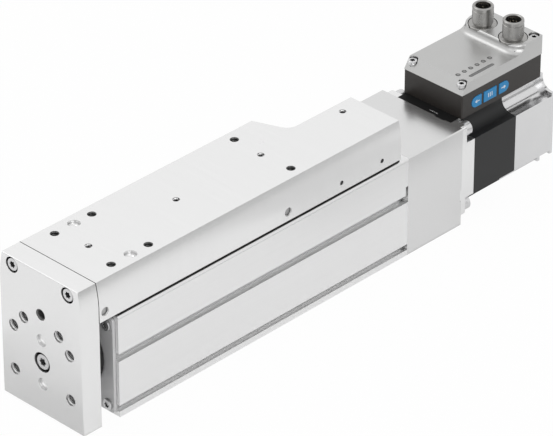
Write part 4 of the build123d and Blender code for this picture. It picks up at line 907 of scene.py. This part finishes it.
class SLIDE_OT_yoke_seam(bpy.types.Operator):
    """Dark line where the yoke plate meets the slide plate"""

    bl_idname = "slide.yoke_seam"
    bl_label = "Yoke seam"

    def execute(self, context):
        half, flat_half, bottom, flank, top, joint_y = 29.8, 27.7, 63.0, 70.0, 86.2, -12.5
        steps, overlap, sunk = 8, 0.3, 0.6
        lean = 2 * math.atan2(half - flat_half, top - flank)
        radius = (top - flank) / math.sin(lean)
        # Pairs of a point (x, z) on the plates' outline and the way out there
        side = [((half, bottom), (1, 0))]
        for step in range(steps + 1):
            turn = lean * step / steps
            point = (half - radius * (1 - math.cos(turn)), flank + radius * math.sin(turn))
            side.append((point, (math.cos(turn), math.sin(turn))))
        side.append(((flat_half - overlap, top), (0, 1)))
        mirrored = [((-x, z), (-a, b)) for (x, z), (a, b) in reversed(side)]
        sizes = context.scene.slide_sizes
        reach, rise = sizes.seam_width / MM / 2, sizes.seam_rise / MM
        low, high = joint_y - reach, joint_y + reach
        ring = ((low, -rise), (high, -rise), (high, sunk), (low, sunk))
        path = side + mirrored
        shape = bmesh.new()
        loft(shape, [[(x - a * depth, y, z - b * depth) for y, depth in ring] for (x, z), (a, b) in path])
        add_piece("yoke_seam", plain_mesh("yoke_seam", shape), "yoke_plate", "dark_line")
        return {"FINISHED"}


class SLIDE_OT_flange_strip(bpy.types.Operator):
    """Black strip on the flange's top, before the case, with a bright clip on it"""

    bl_idname = "slide.flange_strip"
    bl_label = "Flange strip"

    def execute(self, context):
        strip = [(-19.5, 258.3), (-17.5, 258.3), (-17.0, 258.8), (17.0, 258.8), (17.5, 258.3), (19.5, 258.3)]
        strip += [(19.5, 266.2), (-19.5, 266.2)]
        clip = [(2.5, 261.2), (8.0, 261.2), (8.4, 261.6), (8.0, 262.0), (2.5, 262.0), (2.1, 261.6)]
        edge = 0.06 * MM
        rows = (
            ("flange_top_strip", strip, 59.7, 59.95, "dark_line"),
            ("flange_top_clip", clip, 59.9, 60.15, "bright_steel"),
        )
        for name, outline, low, high, finish in rows:
            shape = bmesh.new()
            loft(shape, [[(x, y, z) for x, y in outline] for z in (low, high)])
            soften(shape, edge)
            add_piece(name, weighted(name, shape), "motor_flange", finish)
        return {"FINISHED"}


class SLIDE_OT_edge_seals(bpy.types.Operator):
    """Black strips of painted shade in the gap under the slide's two long edges, just clear of the profile"""

    bl_idname = "slide.edge_seals"
    bl_label = "Gap shade strips"

    def execute(self, context):
        low, high, wall, lip, foot, width = 61.4, 63.1, 29.7, 0.2, 1.2, 1.4
        section = [(wall, high), (wall, low + lip), (wall - lip, low), (wall - foot, low)]
        section.append((wall - width, high))
        shape = bmesh.new()
        for way, first, last in ((1, 1.0, 208.0), (-1, 1.0, 128.0)):
            loft(shape, [[(way * x, y, z) for x, z in section] for y in (first, last)])
        name = "slide_edge_seals"
        # Matt black as painted shade in the gap between slide and profile
        add_piece(name, weighted(name, shape), "slide_plate", "dark_line")
        return {"FINISHED"}


# x, y and number of pins
SOCKETS = ((-11.15, 318.5, 4), (11.15, 318.5, 8))
PIN_CIRCLE = 2.4


class SLIDE_OT_sockets(bpy.types.Operator):
    """Threaded shells of the two round sockets, and their pins"""

    bl_idname = "slide.sockets"
    bl_label = "Sockets"

    def execute(self, context):
        sizes = context.scene.slide_sizes
        pitch, depth = sizes.thread_pitch / MM, sizes.thread_depth / MM
        foot, low, high, rows_per_pitch, outer = 78.9, 87.2, 94.6, 8, 6.0
        count = round((high - low) / pitch * rows_per_pitch)
        thread = [(low + (high - low) * i / count, outer) for i in range(count + 1)]
        profile = [(foot, 4.3), (foot, 5.4), (84.5, 5.4), (84.5, 7.85), (84.65, 8.0), (85.75, 8.0)]
        profile += [(86.0, 7.75), (86.0, 6.5), (86.4, 5.6), (87.0, 5.6)]
        first = len(profile)
        profile += thread + [(94.8, 5.6), (95.6, 5.6), (95.8, 5.95), (96.9, 5.95), (97.4, 5.45)]
        profile += [(97.4, 4.75), (97.0, 4.3)]

        def radius_at(row, radius, angle, place):
            if not first <= row < first + len(thread):
                return radius
            phase = ((place - low) / pitch - angle / FULL_TURN) % 1.0
            fade = min(1.0, (place - low) / pitch, (high - place) / pitch)
            return radius - depth * (1 - fade * (1 - abs(2 * phase - 1)))

        shape = bmesh.new()
        for x, y, _ in SOCKETS:
            turned(shape, profile, (x, y), sizes.turned_steps, "Z", radius_at)
        bmesh.ops.recalc_face_normals(shape, faces=shape.faces)
        shade(shape)
        name = "socket_shells_threaded"
        add_piece(name, plain_mesh(name, shape), "socket_shells")
        tree = turned_tree("Pin", PIN_LABELS, PIN_ROWS)
        pin_radius, pin_rise = 0.5, 16.1
        places = []
        for x, y, pins in SOCKETS:
            for i in range(pins):
                angle = FULL_TURN * (0.125 + i / pins)
                across, along = PIN_CIRCLE * math.cos(angle), PIN_CIRCLE * math.sin(angle)
                places.append((x + across, y + along, foot))
        settings = in_mm(PIN_LABELS, (pin_radius, pin_rise), Turn=UPWARDS)
        repeated_piece("socket_pins_plated", "socket_pins", tree, places, settings)
        return {"FINISHED"}


class SLIDE_OT_lenses(bpy.types.Operator):
    """Six round lenses in the lid"""

    bl_idname = "slide.lenses"
    bl_label = "Lenses"

    def execute(self, context):
        sizes = context.scene.slide_sizes
        tree = turned_tree("Lens", LENS_LABELS, LENS_ROWS)
        count, spacing, radius, depth = 6, 5.12, 1.4, 1.8
        places = [(11.6, 273.5 + spacing * i, 80.8) for i in range(count)]
        settings = in_mm(LENS_LABELS, (radius, depth), Dome=sizes.lens_dome, Turn=UPWARDS)
        repeated_piece("lens_set", "light_windows", tree, places, settings)
        softened_copy("light_bar_moulded", "light_bar", 0.2 * MM)
        return {"FINISHED"}


KEY_FACE_X = 21.7
SIGN_SINK = 0.05


def raised_sign(name, node, outlines, rise):
    """Flat signs on a key: outlines are lists of (y, z) in mm."""
    low, high = KEY_FACE_X - SIGN_SINK, KEY_FACE_X + rise / MM
    shape = bmesh.new()
    for outline in outlines:
        loft(shape, [[(x, y, z) for y, z in outline] for x in (low, high)])
    add_piece(name, plain_mesh(name, shape), node, "sign_white")


def arrow(y, z, way):
    """An arrow that points along Y, as a list of corners."""
    corners = ((-1.7, 0.28), (0.3, 0.28), (0.3, 1.2), (1.9, 0), (0.3, -1.2), (0.3, -0.28), (-1.7, -0.28))
    return [(y + way * a, z + b) for a, b in corners]


class SLIDE_OT_keys(bpy.types.Operator):
    """Three keys with rounded edges and plain signs"""

    bl_idname = "slide.keys"
    bl_label = "Keys"

    def execute(self, context):
        middle_z, edge = 66.3, 0.12 * MM
        corners = ((-0.3, -1.3), (0.3, -1.3), (0.3, 1.3), (-0.3, 1.3))
        bars = [[(y + a, middle_z + b) for a, b in corners] for y in (287.6, 289.0, 290.4)]
        signs = (
            ("left_key", [arrow(278.6, middle_z, -1)]),
            ("centre_key", bars),
            ("right_key", [arrow(299.7, middle_z, 1)]),
        )
        for node, outlines in signs:
            softened_copy(f"{node}_moulded", node, edge)
            raised_sign(f"{node}_sign", node, outlines, context.scene.slide_sizes.sign_rise)
        return {"FINISHED"}


# Stage


CAMERA_TARGET = (0, 0.1448, 0.0419)
CAMERA_AZIMUTH = math.radians(44.34)
CAMERA_ELEVATION = math.radians(32.06)
CAMERA_DISTANCE = 2.258
CAMERA_LENS = 277.65


def backdrop_light(tree, surface, output, camera_share, reflected_share):
    """Mixes plain white over a shader for the camera, and some for reflections and glass."""
    build = NodeBuilder(tree)
    rays = build.node("ShaderNodeLightPath").outputs
    part = build.maths("MULTIPLY", rays["Is Camera Ray"], camera_share)
    for ray in ("Is Glossy Ray", "Is Transmission Ray"):
        part = build.maths("MAXIMUM", part, build.maths("MULTIPLY", rays[ray], reflected_share))
    white = build.node("ShaderNodeEmission")
    mixed = build.node("ShaderNodeMixShader", [(0, part), (1, surface), (2, white.outputs[0])])
    build.plug(tree.nodes[output].inputs["Surface"], mixed.outputs[0])


def lamp(name, place, size, power, mirrored):
    """A square lamp that faces the object, and that reflections see where it is mirrored."""
    data = bpy.data.lights.new(name, "AREA")
    data.shape = "SQUARE"
    data.size = size
    data.energy = power
    light = linked(name, data)
    light.location = place
    light.visible_glossy = mirrored
    aim = Vector(CAMERA_TARGET) - Vector(place)
    light.rotation_euler = aim.to_track_quat("-Z", "Y").to_euler()


# name, place, size, power, whether reflections see it
LAMPS = (
    ("overhead", (-0.25, 0.1, 1.5), 1.4, 7.0, False),
    ("near_side", (1.4, -0.5, 0.9), 1.2, 7.0, True),
    ("front", (0.1, -1.6, 0.6), 1.0, 1.5, True),
    ("far_side", (-0.74, -0.05, 1.0), 0.7, 1.6, True),
)
WORLD_STRENGTH = 0.48
WORLD_SHARES = (1.0, 0.9)
FLOOR_SHARES = (0.97, 0.62)
FLOOR_REACH = 6.0
FLOOR_Z = -0.0002
FLOOR_CARD_Z = 0.0005
# name, near and far x, reach along Y, tone, and z at the near and far x where it isn't on the floor
CARDS = (
    ("card_far_slide", (0.29, 3.00), (-0.20, 0.42), 0.22),
    ("card_far_behind", (0.24, 3.00), (0.42, 4.00), 0.52),
    ("card_by_housing", (0.09, 0.24), (0.20, 0.34), 0.78),
    ("card_at_yoke", (-0.07, 0.035), (-0.046, -0.0255), 0.69),
    ("card_before_yoke", (-0.07, 0.035), (-0.064, -0.046), 0.80),
    ("card_beyond_yoke", (-0.07, 0.035), (-0.086, -0.064), 0.90),
    ("card_behind_motor", (-0.26, -0.005), (0.345, 0.56), 0.02),
    ("card_beside_motor", (0.665, 0.665), (0.68, 1.10), 0.02, (0.06, 0.12)),
    ("card_over_motor", (0.17, 0.29), (0.45, 1.3), 0.02, (0.745, 0.71)),
)


def sheet(name, corners, paper):
    mesh = bpy.data.meshes.new(name)
    mesh.from_pydata(corners, [], [(0, 1, 2, 3)])
    mesh.materials.append(paper.material)
    return linked(name, mesh)


def shade_card(name, across, along, tone, heights=(FLOOR_CARD_Z, FLOOR_CARD_Z)):
    """A card that only reflections see, for the metal's shaded bands."""
    paper = Finish(name, (tone, tone, tone), 0.0, 0.9)
    paper.vary_colour(paper.noise(8, 2.0), 0.95, 1.05)
    (near, far), (first, last), (low, high) = across, along, heights
    corners = [(near, first, low), (far, first, high), (far, last, high), (near, last, low)]
    card = sheet(name, corners, paper)
    for ray in ("camera", "diffuse", "shadow", "transmission", "volume_scatter"):
        setattr(card, f"visible_{ray}", False)


class SLIDE_OT_stage(bpy.types.Operator):
    """Floor, world, lamps and camera"""

    bl_idname = "slide.stage"
    bl_label = "Stage"

    def execute(self, context):
        scene = context.scene
        scene.view_settings.view_transform = "Standard"
        paper = Finish("floor_paper", (0.86, 0.86, 0.86), 0.0, 0.9)
        paper.vary_colour(paper.noise(3, 2.0), 0.99, 1.01)
        backdrop_light(paper.tree, paper.shader.outputs[0], "Material Output", *FLOOR_SHARES)
        signs = ((-1, -1), (1, -1), (1, 1), (-1, 1))
        floor = sheet("floor", [(a * FLOOR_REACH, b * FLOOR_REACH, 0) for a, b in signs], paper)
        floor.location.z = FLOOR_Z

        world = bpy.data.worlds.new("studio")
        scene.world = world
        world.use_nodes = True
        background = world.node_tree.nodes["Background"]
        background.inputs["Color"].default_value = (1, 1, 1, 1)
        background.inputs["Strength"].default_value = WORLD_STRENGTH
        backdrop_light(world.node_tree, background.outputs[0], "World Output", *WORLD_SHARES)
        for row in LAMPS:
            lamp(*row)
        for card in CARDS:
            shade_card(*card)

        data = bpy.data.cameras.new("camera")
        data.sensor_width = 36
        data.lens = CAMERA_LENS
        data.clip_start = 0.05
        camera = linked("camera", data)
        flat = math.cos(CAMERA_ELEVATION)
        across, towards = math.sin(CAMERA_AZIMUTH) * flat, math.cos(CAMERA_AZIMUTH) * flat
        back = Vector((across, -towards, math.sin(CAMERA_ELEVATION)))
        camera.location = Vector(CAMERA_TARGET) + back * CAMERA_DISTANCE
        camera.rotation_euler = back.to_track_quat("Z", "Y").to_euler()
        scene.camera = camera
        return {"FINISHED"}


class SLIDE_PT_finish(bpy.types.Panel):
    """Lists the operators of the slide's finish"""

    bl_idname = "SLIDE_PT_finish"
    bl_label = "Miniature linear slide"
    bl_space_type = "VIEW_3D"
    bl_region_type = "UI"
    bl_category = "Slide"

    def draw(self, context):
        for step in STEPS:
            self.layout.operator(step.bl_idname)


STEPS = (
    SLIDE_OT_frame_finishes,
    SLIDE_OT_load_plates,
    SLIDE_OT_fixed_housings,
    SLIDE_OT_motor_castings,
    SLIDE_OT_electronics,
    SLIDE_OT_rod_and_buffer,
    SLIDE_OT_cap_screws,
    SLIDE_OT_hole_threads,
    SLIDE_OT_locating_seats,
    SLIDE_OT_yoke_seam,
    SLIDE_OT_edge_seals,
    SLIDE_OT_flange_strip,
    SLIDE_OT_sockets,
    SLIDE_OT_lenses,
    SLIDE_OT_keys,
    SLIDE_OT_stage,
)
CLASSES = (SlideColours, SlideSizes, *STEPS, SLIDE_PT_finish)


def register():
    for made in CLASSES:
        bpy.utils.register_class(made)
    bpy.types.Scene.slide_colours = PointerProperty(type=SlideColours)
    bpy.types.Scene.slide_sizes = PointerProperty(type=SlideSizes)


def unregister():
    del bpy.types.Scene.slide_sizes
    del bpy.types.Scene.slide_colours
    for made in reversed(CLASSES):
        bpy.utils.unregister_class(made)


def main():
    register()
    for step in STEPS:
        group, name = step.bl_idname.split(".")
        getattr(getattr(bpy.ops, group), name)()


if __name__ == "__main__":
    main()
